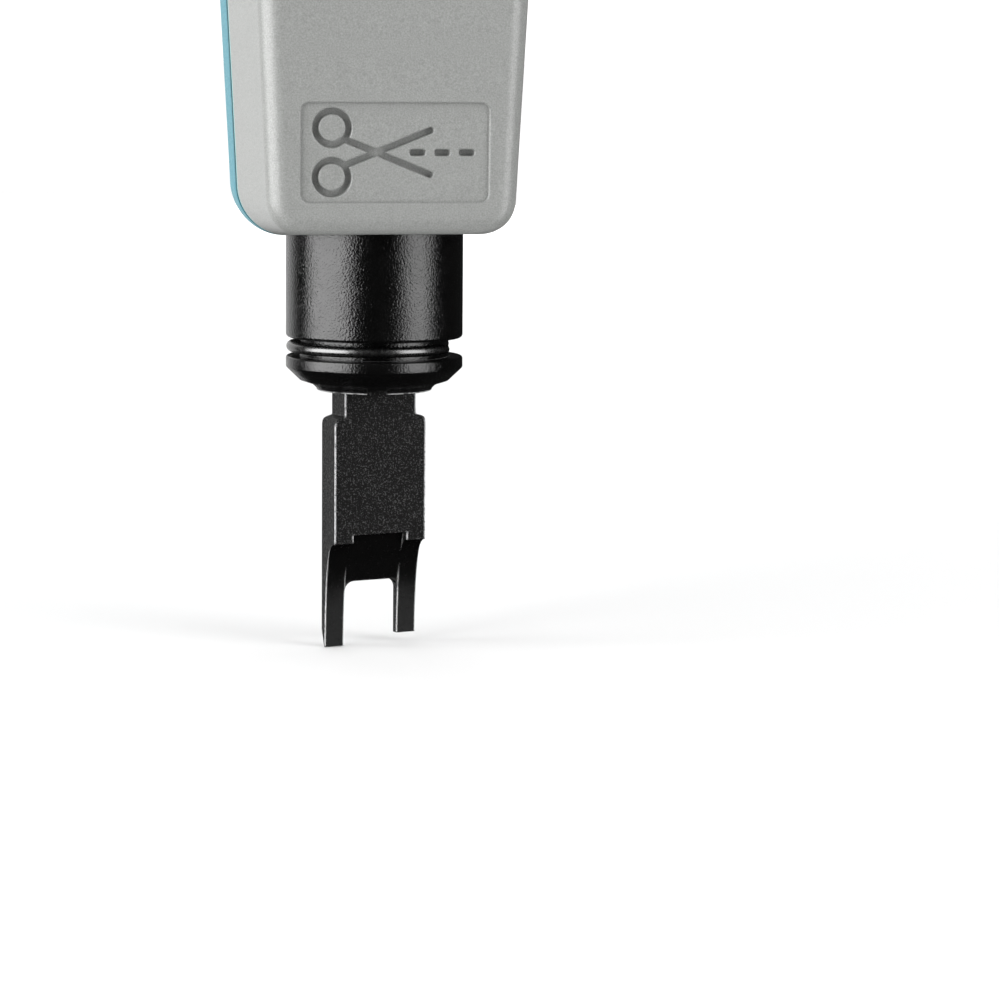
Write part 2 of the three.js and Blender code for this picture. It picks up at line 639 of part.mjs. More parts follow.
addPiece('storage_cap', storageCap(), tealPlastic());
addPiece('cap_seal', capSeal(), rubber());
addPiece('blade_cradle', bladeCradle(), darkPlastic());
addPiece('spare_blade', bladeShape(SPARE), blackBlade(), { z: SPARE.tip });

export default tool;
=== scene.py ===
import json
import math

import bmesh
import bpy
from mathutils import Matrix, Vector


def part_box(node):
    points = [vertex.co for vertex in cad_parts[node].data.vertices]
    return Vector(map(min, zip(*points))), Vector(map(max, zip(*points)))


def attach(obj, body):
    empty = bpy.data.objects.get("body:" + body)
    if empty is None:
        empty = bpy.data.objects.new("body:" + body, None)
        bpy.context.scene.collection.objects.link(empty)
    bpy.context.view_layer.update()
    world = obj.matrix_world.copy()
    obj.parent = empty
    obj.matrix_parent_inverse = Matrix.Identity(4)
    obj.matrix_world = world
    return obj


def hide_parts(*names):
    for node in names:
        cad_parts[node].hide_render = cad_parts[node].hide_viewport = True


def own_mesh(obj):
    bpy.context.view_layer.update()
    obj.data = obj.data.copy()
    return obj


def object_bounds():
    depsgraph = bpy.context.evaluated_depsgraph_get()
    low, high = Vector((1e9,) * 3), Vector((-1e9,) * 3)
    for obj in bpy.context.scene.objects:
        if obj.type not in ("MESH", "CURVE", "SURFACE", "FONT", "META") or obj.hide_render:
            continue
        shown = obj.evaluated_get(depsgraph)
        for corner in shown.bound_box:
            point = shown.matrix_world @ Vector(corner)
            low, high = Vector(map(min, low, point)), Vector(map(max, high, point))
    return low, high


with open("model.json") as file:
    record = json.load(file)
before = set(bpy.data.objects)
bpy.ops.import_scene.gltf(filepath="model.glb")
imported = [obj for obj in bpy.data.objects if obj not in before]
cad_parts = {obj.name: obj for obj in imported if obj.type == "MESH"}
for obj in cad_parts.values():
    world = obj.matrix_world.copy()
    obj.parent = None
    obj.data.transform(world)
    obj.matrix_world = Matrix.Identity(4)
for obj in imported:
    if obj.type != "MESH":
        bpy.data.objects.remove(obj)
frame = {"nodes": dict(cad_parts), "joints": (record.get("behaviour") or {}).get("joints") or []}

CAD_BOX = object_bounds()
MM = 0.001

# ------------------------------------------------------------------ sizes from the frame, in mm


def box_mm(node):
    low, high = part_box(node)
    return low / MM, high / MM


def joint_travel_mm(name):
    joint = next(j for j in frame["joints"] if j["name"] == name)
    return joint["range_m"][1] / MM


REAR_LOW, Z_CAP = box_mm("rear_shell")[0].z, box_mm("rear_shell")[1].z
Z_TOP = CAD_BOX[1].z / MM
Z_LIP = box_mm("plunger_body")[0].z
FLANGE_R = box_mm("plunger_body")[1].x
PLUNGER_TOP = box_mm("plunger_body")[1].z
SELECTOR_LOW, SELECTOR_HIGH = box_mm("force_selector")
BLADE_TOP = box_mm("punch_blade")[1].z
SPARE_TIP = box_mm("spare_blade")[0].z

# ------------------------------------------------------------------ the handle's shape, in mm
Z_STRAIGHT = 65.0  # the sides are straight up to here
Z_WIDEST = 120.0
HALF_WIDTH = 12.05  # at the lower end's front face
FRONT_DEPTH = 10.85  # from the axis to the front, at the lower end
BACK_DEPTH = 13.0
CORNER_R = 1.9  # fillet along the front face
SIDE_DRAFT = math.radians(3.4)
SIDE_WIDEST_Y = 7.2  # where the sides turn into the rounded back
# slope of the straight stretch, widest value, value at the cap
WIDTH_GROWTH = (0.049, 15.9, 14.3)
FRONT_GROWTH = (0.03, 13.5, 12.3)
BACK_GROWTH = (0.02, 14.8, 13.4)

END_FILLET_X = 3.1  # rounding of the lower end at the front face, seen from the front
END_FILLET_GROWTH = 0.08  # its growth per millimetre toward the back
END_FILLET_Y = 1.7  # rounding of the lower end, seen from the side
END_SLANT = 0.05  # drop of the lower end per millimetre toward the back
END_SLANT_HEIGHT = 10.0  # the slant fades out over this height
Z_HANDLE = REAR_LOW + END_SLANT * (FRONT_DEPTH + BACK_DEPTH)
TOP_EDGE = 0.5  # rounding of the handle's upper end

SEAM_Y = 4.4  # parting plane between the two shells
SEAM_GAP = 0.14
SEAM_EDGE = 0.13  # rounding of the edges along the seam
REAR_SEAM_STEP = (0.55, 0.45)  # width and depth of the shadow groove along the rear shell

# ------------------------------------------------------------------ inside the handle, in mm
NOSE_R = 9.1
CHAMBER_R = 10.2  # chamber of the return spring
SEAL_SEAT = (54, 56)
CHAMBER_Z = (57.6, 77.2)
TUBE_R = 7.8
TUBE_TOP = 134.3
BAY_R = 6.6  # bay of the spare blade
BAY_LOW = 137
MOUTH_R = 8.9  # mouth of the bay, for the cap's plug
MOUTH_LOW = 160.5
SCREW_PLACES = ((-11, 83), (11, 83), (-11.8, 127), (11.8, 127))
SCREW = {"head": 2.2, "shank": 1.3, "bore": 1.6, "sink": 2.6, "tip": -5, "seat": 6.6, "top": 8.7}

# ------------------------------------------------------------------ barrel and panel, in mm
BARREL_R = 8.75
SOCKET_R = 4.9
SOCKET_TOP = 40
GROOVE_LOW, GROOVE_HIGH = 29.1, 30.95  # groove of the wire ring
NECK_R = 7.35  # floor of that groove
RING_TURN = -11  # degrees about Z
PANEL_Z = 49.45
PANEL_SIZE = (18.3, 9.5)
PANEL_DEPTH = 0.3


def hermite(z, a, va, ma, b, vb, mb):
    t = (z - a) / (b - a)
    rise = t * t * (3 - 2 * t)
    start = t * (1 - t) ** 2 * (b - a) * ma
    end = t * t * (t - 1) * (b - a) * mb
    return va + (vb - va) * rise + start + end


def grown(base, growth, z):
    slope, widest, at_cap = growth
    if z <= Z_STRAIGHT:
        return base + slope * (z - Z_HANDLE)
    straight = base + slope * (Z_STRAIGHT - Z_HANDLE)
    if z <= Z_WIDEST:
        return hermite(z, Z_STRAIGHT, straight, slope, Z_WIDEST, widest, 0)
    return hermite(min(z, Z_CAP), Z_WIDEST, widest, 0, Z_CAP, at_cap, -0.02)


def half_width(z):
    return grown(HALF_WIDTH, WIDTH_GROWTH, z)


def front_depth(z):
    return grown(FRONT_DEPTH, FRONT_GROWTH, z)


def back_depth(z):
    return grown(BACK_DEPTH, BACK_GROWTH, z)


def fillet_inset(height, r):
    return 0 if height >= r else r - math.sqrt(r * r - (r - height) ** 2)


def side_x(y):
    return HALF_WIDTH + (y + FRONT_DEPTH - CORNER_R) * math.tan(SIDE_DRAFT)


def bezier(p0, p1, p2, p3, count):
    points = []
    for i in range(count + 1):
        t = i / count
        weights = ((1 - t) ** 3, 3 * t * (1 - t) ** 2, 3 * t * t * (1 - t), t ** 3)
        points.append(tuple(
            sum(w * p[axis] for w, p in zip(weights, (p0, p1, p2, p3))) for axis in (0, 1)
        ))
    return points


def front_half_outline():
    """Right half of the section in front of the seam, from the middle of the front face."""
    points = [(0, -FRONT_DEPTH), (5, -FRONT_DEPTH)]
    arc_steps = 12
    for i in range(arc_steps + 1):
        angle = -math.pi / 2 + (math.pi / 2 - SIDE_DRAFT) * i / arc_steps
        points.append((
            HALF_WIDTH - CORNER_R + CORNER_R * math.cos(angle),
            -FRONT_DEPTH + CORNER_R + CORNER_R * math.sin(angle),
        ))
    for y in (-5.5, -1.0, 2.5):
        points.append((side_x(y), y))
    return points


def back_half_outline():
    """Right half of the section behind the seam, from the seam to the middle of the back."""
    widest = (side_x(SIDE_WIDEST_Y), SIDE_WIDEST_Y)
    curve = bezier(widest, (widest[0] + 0.15, 11.2), (9.2, BACK_DEPTH), (0, BACK_DEPTH), 30)
    return [(side_x(6.0), 6.0)] + curve


def mirrored(right):
    left = [(-x, y) for x, y in reversed(right) if abs(x) > 1e-6]
    return right + left


def depth_scale(y, z, inset_y):
    if y < 0:
        return (front_depth(z) - inset_y) / FRONT_DEPTH
    return (back_depth(z) - inset_y) / BACK_DEPTH


def on_level(x, y, z, inset_x, inset_y):
    """A point of the outline, moved to where it lies on the handle at level z.

    The lower end is rounded and slants down toward the back."""
    height = z - Z_HANDLE
    fillet = fillet_inset(height, END_FILLET_X + END_FILLET_GROWTH * (y + FRONT_DEPTH))
    width_scale = (half_width(z) - inset_x - fillet) / HALF_WIDTH
    fade = max(0, 1 - height / END_SLANT_HEIGHT)
    drop = END_SLANT * (y + FRONT_DEPTH) * fade * fade
    return (x * width_scale, y * depth_scale(y, z, inset_y), z - drop)


def section(outline, z, inset_x=0.0, inset_y=0.0):
    return [on_level(x, y, z, inset_x, inset_y) for x, y in outline]


def seam_profile(is_front):
    """The seam's edge as steps (inward from the side, away from the seam plane)."""
    r = SEAM_EDGE
    angles = [math.radians(a) for a in (0, 30, 60, 90)]
    if is_front:
        return [(r * (1 - math.cos(a)), r * (1 - math.sin(a))) for a in angles]
    width, depth = REAR_SEAM_STEP
    rounded = [(r * (1 - math.cos(a)), width + r * (1 - math.sin(a))) for a in angles]
    return rounded + [(depth, width), (depth, 0)]


def shell_section(right, z, inset_x, inset_y, is_front):
    """A shell's section: the handle's outline, closed by a flat seam whose edge is shaped."""
    ring = section(right, z, inset_x, inset_y)
    away = -1 if is_front else 1
    seam = SEAM_Y + away * SEAM_GAP / 2
    scale = depth_scale(seam, z, inset_y)
    edge = []
    for inward, off in seam_profile(is_front):
        y = (seam + away * off) / scale
        x, y_here, z_here = on_level(side_x(y), y, z, inset_x, inset_y)
        edge.append((x - inward, y_here, z_here))
    ring = ring + edge if is_front else list(reversed(edge)) + ring
    return ring + [(-x, y, z) for x, y, z in reversed(ring) if abs(x) > 1e-6]


# ------------------------------------------------------------------ mesh building


def mesh_object(name, vertices_mm, faces):
    mesh = bpy.data.meshes.new(name)
    mesh.from_pydata([Vector(v) * MM for v in vertices_mm], [], faces)
    obj = bpy.data.objects.new(name, mesh)
    bpy.context.scene.collection.objects.link(obj)
    bm = bmesh.new()
    bm.from_mesh(mesh)
    bmesh.ops.recalc_face_normals(bm, faces=bm.faces)
    bm.to_mesh(mesh)
    bm.free()
    return obj


def loft(name, rings, closed=False):
    """Quads between rings of equal length. The ends are capped, or joined if closed."""
    count = len(rings[0])
    vertices = [v for ring in rings for v in ring]
    pairs = len(rings) if closed else len(rings) - 1
    faces = []
    for i in range(pairs):
        low = i * count
        high = ((i + 1) % len(rings)) * count
        for k in range(count):
            n = (k + 1) % count
            faces.append((low + k, low + n, high + n, high + k))
    if not closed:
        faces.append(tuple(reversed(range(count))))
        faces.append(tuple(range(len(vertices) - count, len(vertices))))
    return mesh_object(name, vertices, faces)


def circle(x, y, r, count=24):
    angles = [2 * math.pi * k / count for k in range(count)]
    return [(x + r * math.cos(angle), y + r * math.sin(angle)) for angle in angles]


def turned(name, profile, segments=96):
    """A piece turned about Z. A profile that starts off the axis closes on itself."""
    closed = profile[0][0] > 0
    rings = []
    for r, z in profile:
        rings.append([(x, y, z) for x, y in circle(0, 0, max(r, 1e-4), segments)])
    return loft(name, rings, closed)


def prism(name, outline, low, high, plane="XZ"):
    """A flat outline pushed from low to high along the axis that its plane leaves out."""
    place = {
        "XZ": lambda a, b, depth: (a, depth, b),
        "YZ": lambda a, b, depth: (depth, a, b),
        "XY": lambda a, b, depth: (a, b, depth),
    }[plane]
    return loft(name, [[place(a, b, depth) for a, b in outline] for depth in (low, high)])


def block(name, x, y, z):
    outline = [(x[0], z[0]), (x[1], z[0]), (x[1], z[1]), (x[0], z[1])]
    return prism(name, outline, y[0], y[1])


def bar_along_y(name, r, x, z, y0, y1, segments=40):
    return prism(name, circle(x, z, r, segments), y0, y1)


def rounded_rectangle(width, height, r, steps=6, centre=(0, 0), degrees=0.0):
    points = []
    turn = math.radians(degrees)
    for sx, sy, start in ((1, -1, 270), (1, 1, 0), (-1, 1, 90), (-1, -1, 180)):
        for i in range(steps + 1):
            angle = math.radians(start + 90 * i / steps)
            x = sx * (width / 2 - r) + r * math.cos(angle)
            y = sy * (height / 2 - r) + r * math.sin(angle)
            points.append((
                centre[0] + x * math.cos(turn) - y * math.sin(turn),
                centre[1] + x * math.sin(turn) + y * math.cos(turn),
            ))
    return points


def tube(name, path, radius, sides=12):
    """A round bar along a path of points, with flat ends."""
    points = [Vector(p) for p in path]
    rings = []
    normal = None
    for i, point in enumerate(points):
        ahead = points[min(i + 1, len(points) - 1)]
        behind = points[max(i - 1, 0)]
        along = (ahead - behind).normalized()
        if normal is None:
            normal = along.orthogonal().normalized()
        normal = (normal - along * normal.dot(along)).normalized()
        side = along.cross(normal)
        rings.append([
            tuple(point + radius * (
                math.cos(2 * math.pi * k / sides) * normal
                + math.sin(2 * math.pi * k / sides) * side
            ))
            for k in range(sides)
        ])
    return loft(name, rings)


def apply_modifiers(obj):
    depsgraph = bpy.context.evaluated_depsgraph_get()
    mesh = bpy.data.meshes.new_from_object(obj.evaluated_get(depsgraph))
    obj.modifiers.clear()
    obj.data = mesh
    return obj


def combine(obj, others, operation="DIFFERENCE"):
    """Cuts the others from obj, or joins them to it, and removes them."""
    for other in others:
        modifier = obj.modifiers.new("combine", "BOOLEAN")
        modifier.operation = operation
        modifier.solver = "EXACT"
        modifier.object = other
        apply_modifiers(obj)
        bpy.data.objects.remove(other)
    return obj


def turn(obj, degrees):
    obj.data.transform(Matrix.Rotation(math.radians(degrees), 4, "Z"))
    return obj


def shift(obj, x=0.0, y=0.0, z=0.0):
    obj.data.transform(Matrix.Translation(Vector((x, y, z)) * MM))
    return obj


def bevelled(obj, width, segments=3, angle=35):
    """Rounds the edges that turn by more than angle degrees."""
    modifier = obj.modifiers.new("bevel", "BEVEL")
    modifier.width = width * MM
    modifier.segments = segments
    modifier.limit_method = "ANGLE"
    modifier.angle_limit = math.radians(angle)
    modifier.use_clamp_overlap = True
    return apply_modifiers(obj)


def smooth(obj, angle=32):
    obj.data.shade_smooth()
    obj.data.set_sharp_from_angle(angle=math.radians(angle))
    modifier = obj.modifiers.new("normals", "WEIGHTED_NORMAL")
    modifier.keep_sharp = True
    modifier.weight = 80
    return apply_modifiers(obj)


# ------------------------------------------------------------------ materials


class Surface:
    """A Principled material whose nodes are added one at a time."""

    def __init__(self, name, roughness, metallic=0.0, specular=0.5):
        self.material = bpy.data.materials.new(name)
        self.material.use_nodes = True
        self.tree = self.material.node_tree
        self.shader = self.tree.nodes["Principled BSDF"]
        self.shader.inputs["Roughness"].default_value = roughness
        self.shader.inputs["Metallic"].default_value = metallic
        self.shader.inputs["Specular IOR Level"].default_value = specular
        self.coordinates = self.node("ShaderNodeTexCoord").outputs["Object"]

    def node(self, kind, **properties):
        made = self.tree.nodes.new(kind)
        for name, value in properties.items():
            setattr(made, name, value)
        return made

    def feed(self, node, **links):
        for socket, value in links.items():
            entry = node.inputs[int(socket[1:])] if socket[1:].isdigit() else node.inputs[socket]
            if isinstance(value, bpy.types.NodeSocket):
                self.tree.links.new(value, entry)
            else:
                entry.default_value = value
        return node

    def noise(self, per_metre, detail=2.0, roughness=0.5):
        node = self.node("ShaderNodeTexNoise")
        self.feed(node, Vector=self.coordinates, Scale=per_metre, Detail=detail)
        node.inputs["Roughness"].default_value = roughness
        return node.outputs["Fac"]

    def position(self, axis):
        node = self.node("ShaderNodeSeparateXYZ")
        self.feed(node, Vector=self.coordinates)
        return node.outputs[axis]

    def span(self, value, low, high, to_low=0.0, to_high=1.0):
        node = self.node("ShaderNodeMapRange")
        self.feed(node, Value=value)
        for socket, number in (("From Min", low), ("From Max", high),
                               ("To Min", to_low), ("To Max", to_high)):
            node.inputs[socket].default_value = number
        return node.outputs["Result"]

    def maths(self, operation, first, second=0.0):
        node = self.node("ShaderNodeMath", operation=operation)
        return self.feed(node, _0=first, _1=second).outputs["Value"]

    def blend(self, share, first, second):
        node = self.node("ShaderNodeMix", data_type="RGBA")
        for socket, value in (("Factor", share), ("A", first), ("B", second)):
            entry = next(
                i for i in node.inputs
                if i.name == socket and i.enabled and i.type in ("RGBA", "VALUE")
            )
            if isinstance(value, bpy.types.NodeSocket):
                self.tree.links.new(value, entry)
            else:
                entry.default_value = value
        return next(o for o in node.outputs if o.enabled and o.type == "RGBA")

    def rounded_normal(self, radius_mm, samples=4):
        node = self.node("ShaderNodeBevel", samples=samples)
        node.inputs["Radius"].default_value = radius_mm * MM
        return node.outputs["Normal"]

    def edge_mask(self, radius_mm, low, high, upright_in_front=False):
        """1 on edges and 0 on flat ground: how far the rounded normal leans from the real one.

        With upright_in_front, only upright edges on the side that faces -Y are counted."""
        geometry = self.node("ShaderNodeNewGeometry")
        dot = self.node("ShaderNodeVectorMath", operation="DOT_PRODUCT")
        rounded = self.rounded_normal(radius_mm, 6)
        self.feed(dot, _0=rounded, _1=geometry.outputs["Normal"])
        lean = self.maths("SUBTRACT", 1.0, dot.outputs["Value"])
        mask = self.span(lean, low, high)
        if not upright_in_front:
            return mask
        local = self.node("ShaderNodeVectorTransform", vector_type="NORMAL",
                          convert_from="WORLD", convert_to="OBJECT")
        self.feed(local, Vector=rounded)
        parts = self.node("ShaderNodeSeparateXYZ")
        self.feed(parts, Vector=local.outputs["Vector"])
        in_front = self.span(parts.outputs["Y"], -0.1, -0.3)
        steepness = self.maths("ABSOLUTE", parts.outputs["Z"])
        upright = self.span(steepness, 0.22, 0.06)
        return self.maths("MULTIPLY", mask, self.maths("MULTIPLY", in_front, upright))

    def bump(self, height, depth_mm, strength=1.0, normal=None):
        node = self.node("ShaderNodeBump")
        self.feed(node, Height=height, Strength=strength, Distance=depth_mm * MM)
        if normal is not None:
            self.feed(node, Normal=normal)
        return node.outputs["Normal"]

    def finish(self, color=None, roughness=None, metallic=None, normal=None):
        for socket, value in (("Base Color", color), ("Roughness", roughness),
                              ("Metallic", metallic), ("Normal", normal)):
            if value is not None:
                self.tree.links.new(value, self.shader.inputs[socket])
        return self.material


def grain(surface, per_metre=3800):
    """Fine even grain of a spark-eroded mould."""
    fine = surface.noise(per_metre, 3.0, 0.6)
    broad = surface.noise(per_metre / 5, 2.0, 0.5)
    return fine, broad


def moulded_plastic(name, dark, light, roughness, depth_mm, per_metre=3800, specular=0.5,
                    seam=None):
    """Grained plastic. seam is (y where the painted seam light starts, y where it is full, its
    colour), in mm: a band of colour along the seam that stands in for light falling there.
    """
    surface = Surface(name, roughness, specular=specular)
    fine, broad = grain(surface, per_metre)
    speckle = surface.maths("ADD", surface.span(fine, 0.3, 0.7, 0.0, 0.88),
                            surface.span(broad, 0.3, 0.7, 0.0, 0.12))
    normal = surface.bump(fine, depth_mm, 1.0, surface.rounded_normal(0.16))
    color = surface.blend(speckle, dark, light)
    # painted light along the seam: the grey shell gets a painted highlight here, the teal shell
    # painted shade
    if seam:
        start, full, painted_seam_light = seam
        share = surface.span(surface.position("Y"), start * MM, full * MM)
        color = surface.blend(share, color, painted_seam_light)
    return surface.finish(
        color=color,
        roughness=surface.span(fine, 0.3, 0.7, roughness + 0.06, roughness - 0.06),
        normal=normal,
    )


def barrel_coating():
    """Semi-gloss black coating with light wear on all edges, and painted highlights on the lip's
    rim and on the edge below the ring.
    """
    surface = Surface("black_barrel", 0.22, 0.0, specular=0.62)
    fine = surface.noise(5200, 1.5, 0.5)
    blotch = surface.noise(420, 3.0, 0.6)
    z = surface.position("Z")
    # painted highlight: the lip's rim is coloured bright grey, in patches
    rim = surface.span(z, (Z_LIP + 0.14) * MM, (Z_LIP + 0.08) * MM)
    # painted highlight on the edge of the land below the ring groove
    land_edge_highlight = surface.maths(
        "MULTIPLY",
        surface.span(z, (GROOVE_LOW - 0.24) * MM, (GROOVE_LOW - 0.12) * MM),
        surface.span(z, (GROOVE_LOW + 0.1) * MM, GROOVE_LOW * MM),
    )
    edges = surface.edge_mask(0.16, 0.03, 0.2)
    # all edges get light wear; the land's edge gets much more, as a painted highlight
    edge_wear_and_highlight = surface.maths("MULTIPLY", edges, surface.span(land_edge_highlight, 0.0, 1.0, 0.1, 0.45))
    patches = surface.span(surface.noise(900, 2.0, 0.6), 0.4, 0.5, 0.15, 1.0)
    wear_and_highlight = surface.maths("ADD", edge_wear_and_highlight, surface.maths("MULTIPLY", rim, patches))
    wear_and_highlight = surface.maths("MULTIPLY", wear_and_highlight, surface.span(fine, 0.38, 0.55, 0.5, 1.0))
    return surface.finish(
        color=surface.blend(wear_and_highlight, (0.001, 0.001, 0.001, 1), (0.38, 0.38, 0.38, 1)),
        roughness=surface.span(blotch, 0.35, 0.65, 0.16, 0.24),
        normal=surface.bump(fine, 0.045, 1.0, surface.rounded_normal(0.08)),
    )


def blade_coating():
    """Black oxide on a finely speckled sintered surface, with bright steel on the upright front
    edges (partly wear, partly painted highlight) and painted shade where the blade sits in the
    socket.
    """
    surface = Surface("black_blade", 0.34, 0.0, specular=0.1)
    fine = surface.noise(6500, 2.0, 0.6)
    # bright steel on the upright edges facing -Y: partly wear, partly painted highlight
    edges = surface.edge_mask(0.3, 0.01, 0.04, upright_in_front=True)
    patches = surface.span(surface.noise(3400, 3.0, 0.7), 0.4, 0.52, 0.3, 1.0)
    wear_and_highlight = surface.maths("MULTIPLY", edges, patches)
    z = surface.position("Z")
    # painted shade: above the lip, inside the socket, the speckle is dropped so the colour is
    # darker, and the roughness is raised
    socket_shade = surface.maths(
        "MULTIPLY",
        surface.span(z, (Z_LIP - 0.35) * MM, (Z_LIP + 0.1) * MM),
        surface.span(z, (BLADE_TOP + 2) * MM, (BLADE_TOP + 1) * MM),
    )
    speckle = surface.maths("MULTIPLY", surface.span(fine, 0.54, 0.66),
                            surface.maths("SUBTRACT", 1.0, socket_shade))
    ground = surface.blend(speckle, (0.002, 0.002, 0.002, 1), (0.055, 0.055, 0.055, 1))
    satin = surface.span(fine, 0.3, 0.7, 0.4, 0.28)
    return surface.finish(
        color=surface.blend(wear_and_highlight, ground, (0.78, 0.78, 0.79, 1)),
        metallic=surface.maths("MULTIPLY", wear_and_highlight, 0.6),
        roughness=surface.maths("ADD", satin, surface.maths("MULTIPLY", socket_shade, 0.5)),
        normal=surface.bump(fine, 0.08, 1.0, surface.rounded_normal(0.12)),
    )


def ground_coating():
    """The blade's smooth black hollow grind."""
    surface = Surface("blade_ground", 0.22, 0.0, specular=0.12)
    lines = surface.noise(3000, 2.0, 0.5)
    edges = surface.edge_mask(0.2, 0.01, 0.06, upright_in_front=True)
    return surface.finish(
        color=surface.blend(edges, (0.002, 0.002, 0.002, 1), (0.6, 0.6, 0.6, 1)),
        metallic=surface.maths("MULTIPLY", edges, 0.6),
        roughness=surface.span(lines, 0.3, 0.7, 0.18, 0.28),
        normal=surface.bump(lines, 0.006),
    )


def metal(name, dark, light, roughness, scratch=2500, depth_mm=0.004):
    surface = Surface(name, roughness, 1.0)
    fine = surface.noise(scratch, 4.0, 0.7)
    return surface.finish(
        color=surface.blend(fine, dark, light),
        roughness=surface.span(fine, 0.3, 0.7, roughness - 0.07, roughness + 0.09),
        normal=surface.bump(fine, depth_mm, 1.0, surface.rounded_normal(0.1)),
    )


def soft_rubber(name, color):
    surface = Surface(name, 0.8)
    fine = surface.noise(3000, 3.0, 0.6)
    lighter = tuple(min(1, c * 1.6) for c in color[:3]) + (1,)
    return surface.finish(
        color=surface.blend(fine, color, lighter),
        roughness=surface.span(fine, 0.3, 0.7, 0.72, 0.88),
        normal=surface.bump(fine, 0.02, 1.0),
    )


MATERIALS = {
    "grey_plastic": moulded_plastic(
        "grey_plastic", (0.172, 0.176, 0.17, 1), (0.283, 0.289, 0.28, 1), 0.34, 0.024,
        per_metre=6500, specular=0.8,
        # painted highlight: a pale cyan band on the front shell's seam edge
        seam=(SEAM_Y - 0.5, SEAM_Y - 0.3, (0.2, 0.5, 0.5, 1))),
    "teal_plastic": moulded_plastic(
        "teal_plastic", (0.026, 0.17, 0.22, 1), (0.034, 0.21, 0.262, 1), 0.34, 0.012,
        specular=0.8),
    "teal_shell_seam_shade": moulded_plastic(
        "teal_shell_seam_shade", (0.026, 0.17, 0.22, 1), (0.034, 0.21, 0.262, 1), 0.34, 0.012,
        # painted shade: dark teal in the seam groove, where the shadow of the front shell falls
        specular=0.8, seam=(SEAM_Y + 0.7, SEAM_Y + 0.65, (0.002, 0.07, 0.09, 1))),
    "black_barrel": barrel_coating(),
    "black_blade": blade_coating(),
    "blade_ground": ground_coating(),
    "ring_wire": metal("ring_wire", (0.1, 0.1, 0.1, 1), (0.22, 0.22, 0.22, 1), 0.26),
    "steel": metal("steel", (0.5, 0.5, 0.51, 1), (0.68, 0.68, 0.69, 1), 0.3),
    "brass": metal("brass", (0.55, 0.36, 0.12, 1), (0.75, 0.52, 0.2, 1), 0.28),
    "rubber": soft_rubber("rubber", (0.015, 0.015, 0.015, 1)),
    "dark_plastic": moulded_plastic(
        "dark_plastic", (0.02, 0.022, 0.024, 1), (0.035, 0.037, 0.04, 1), 0.5, 0.02),
}


def dress(obj, slot, body, node, look=None):
    """Gives a finished piece its material, body and slot, and the CAD node it stands for."""
    obj.data.materials.clear()
    obj.data.materials.append(MATERIALS[look or slot])
    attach(obj, body)
    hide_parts(node)
    return obj


# ------------------------------------------------------------------ handle shells
def handle_levels():
    steps = 18
    ease = [1 - math.cos(math.pi / 2 * i / steps) for i in range(steps + 1)]
    highest_fillet = END_FILLET_X + END_FILLET_GROWTH * (FRONT_DEPTH + BACK_DEPTH)
    levels = [Z_HANDLE + share * highest_fillet for share in ease]
    spacing = 2.2
    start = levels[-1]
    span = Z_CAP - TOP_EDGE - start
    count = round(span / spacing)
    levels += [start + span * i / count for i in range(1, count + 1)]
    return levels + [Z_CAP - share * TOP_EDGE for share in (0.55, 0.25, 0.08, 0)]


def shell_rings(right, is_front):
    rings = []
    for z in handle_levels():
        at_top = fillet_inset(Z_CAP - z, TOP_EDGE)
        at_end = fillet_inset(z - Z_HANDLE, END_FILLET_Y)
        rings.append(shell_section(right, z, at_top, at_top + at_end, is_front))
    return rings


def hollow_cutters():
    """Bore and chambers, the spare blade's bay, and the widened mouth of the bore."""
    over = 1
    below = REAR_LOW - over
    seal_low, seal_high = SEAL_SEAT
    chamber_low, chamber_high = CHAMBER_Z
    tube_r = TUBE_R + 0.3
    bore = [
        (0, below), (NOSE_R, below), (NOSE_R, seal_low), (CHAMBER_R, seal_low),
        (CHAMBER_R, seal_high), (NOSE_R, seal_high), (NOSE_R, chamber_low),
        (CHAMBER_R, chamber_low), (CHAMBER_R, chamber_high), (tube_r, chamber_high),
        (tube_r, TUBE_TOP), (0, TUBE_TOP),
    ]
    rim = 0.4
    bay = [
        (0, BAY_LOW), (BAY_R, BAY_LOW), (BAY_R, MOUTH_LOW), (MOUTH_R, MOUTH_LOW),
        (MOUTH_R, Z_CAP - rim), (MOUTH_R + rim, Z_CAP), (MOUTH_R + rim, Z_CAP + over),
        (0, Z_CAP + over),
    ]
    edge = 0.35
    mouth = turned("mouth", [
        (0, below), (NOSE_R + edge, below), (NOSE_R + edge, Z_HANDLE),
        (NOSE_R + 0.1, Z_HANDLE + 0.1), (NOSE_R, Z_HANDLE + edge), (0, Z_HANDLE + edge),
    ])
    lean = Matrix.Identity(4)
    lean[2][1] = -END_SLANT * FRONT_DEPTH / (FRONT_DEPTH - END_FILLET_Y)
    lean[2][3] = -END_SLANT * FRONT_DEPTH * MM
    mouth.data.transform(lean)
    return [turned("bore", bore), turned("bay", bay), mouth]


def screw_bores():
    low = SCREW["tip"] - 1
    return [bar_along_y("screw_bore", SCREW["bore"], x, z, low, 20) for x, z in SCREW_PLACES]


def on_front(obj, z):
    """Lays a solid drawn on the XY plane, facing +Z, on the handle's front at level z."""
    tilt = math.pi / 2 + math.atan(FRONT_GROWTH[0])
    place = Matrix.Translation(Vector((0, -front_depth(z), z)) * MM)
    obj.data.transform(place @ Matrix.Rotation(tilt, 4, "X"))
    return obj


def flared_prism(name, width, height, r, floor, top, flare, centre=(0, 0), degrees=0.0):
    """A rounded rectangle from floor to above top, widened by flare at the level top."""
    narrow = rounded_rectangle(width, height, r, 6, centre, degrees)
    wide = rounded_rectangle(width + 2 * flare, height + 2 * flare, r + flare, 6, centre, degrees)
    layers = ((narrow, floor), (narrow, top - flare), (wide, top), (wide, top + 1))
    return loft(name, [[(x, y, z) for x, y in outline] for outline, z in layers])


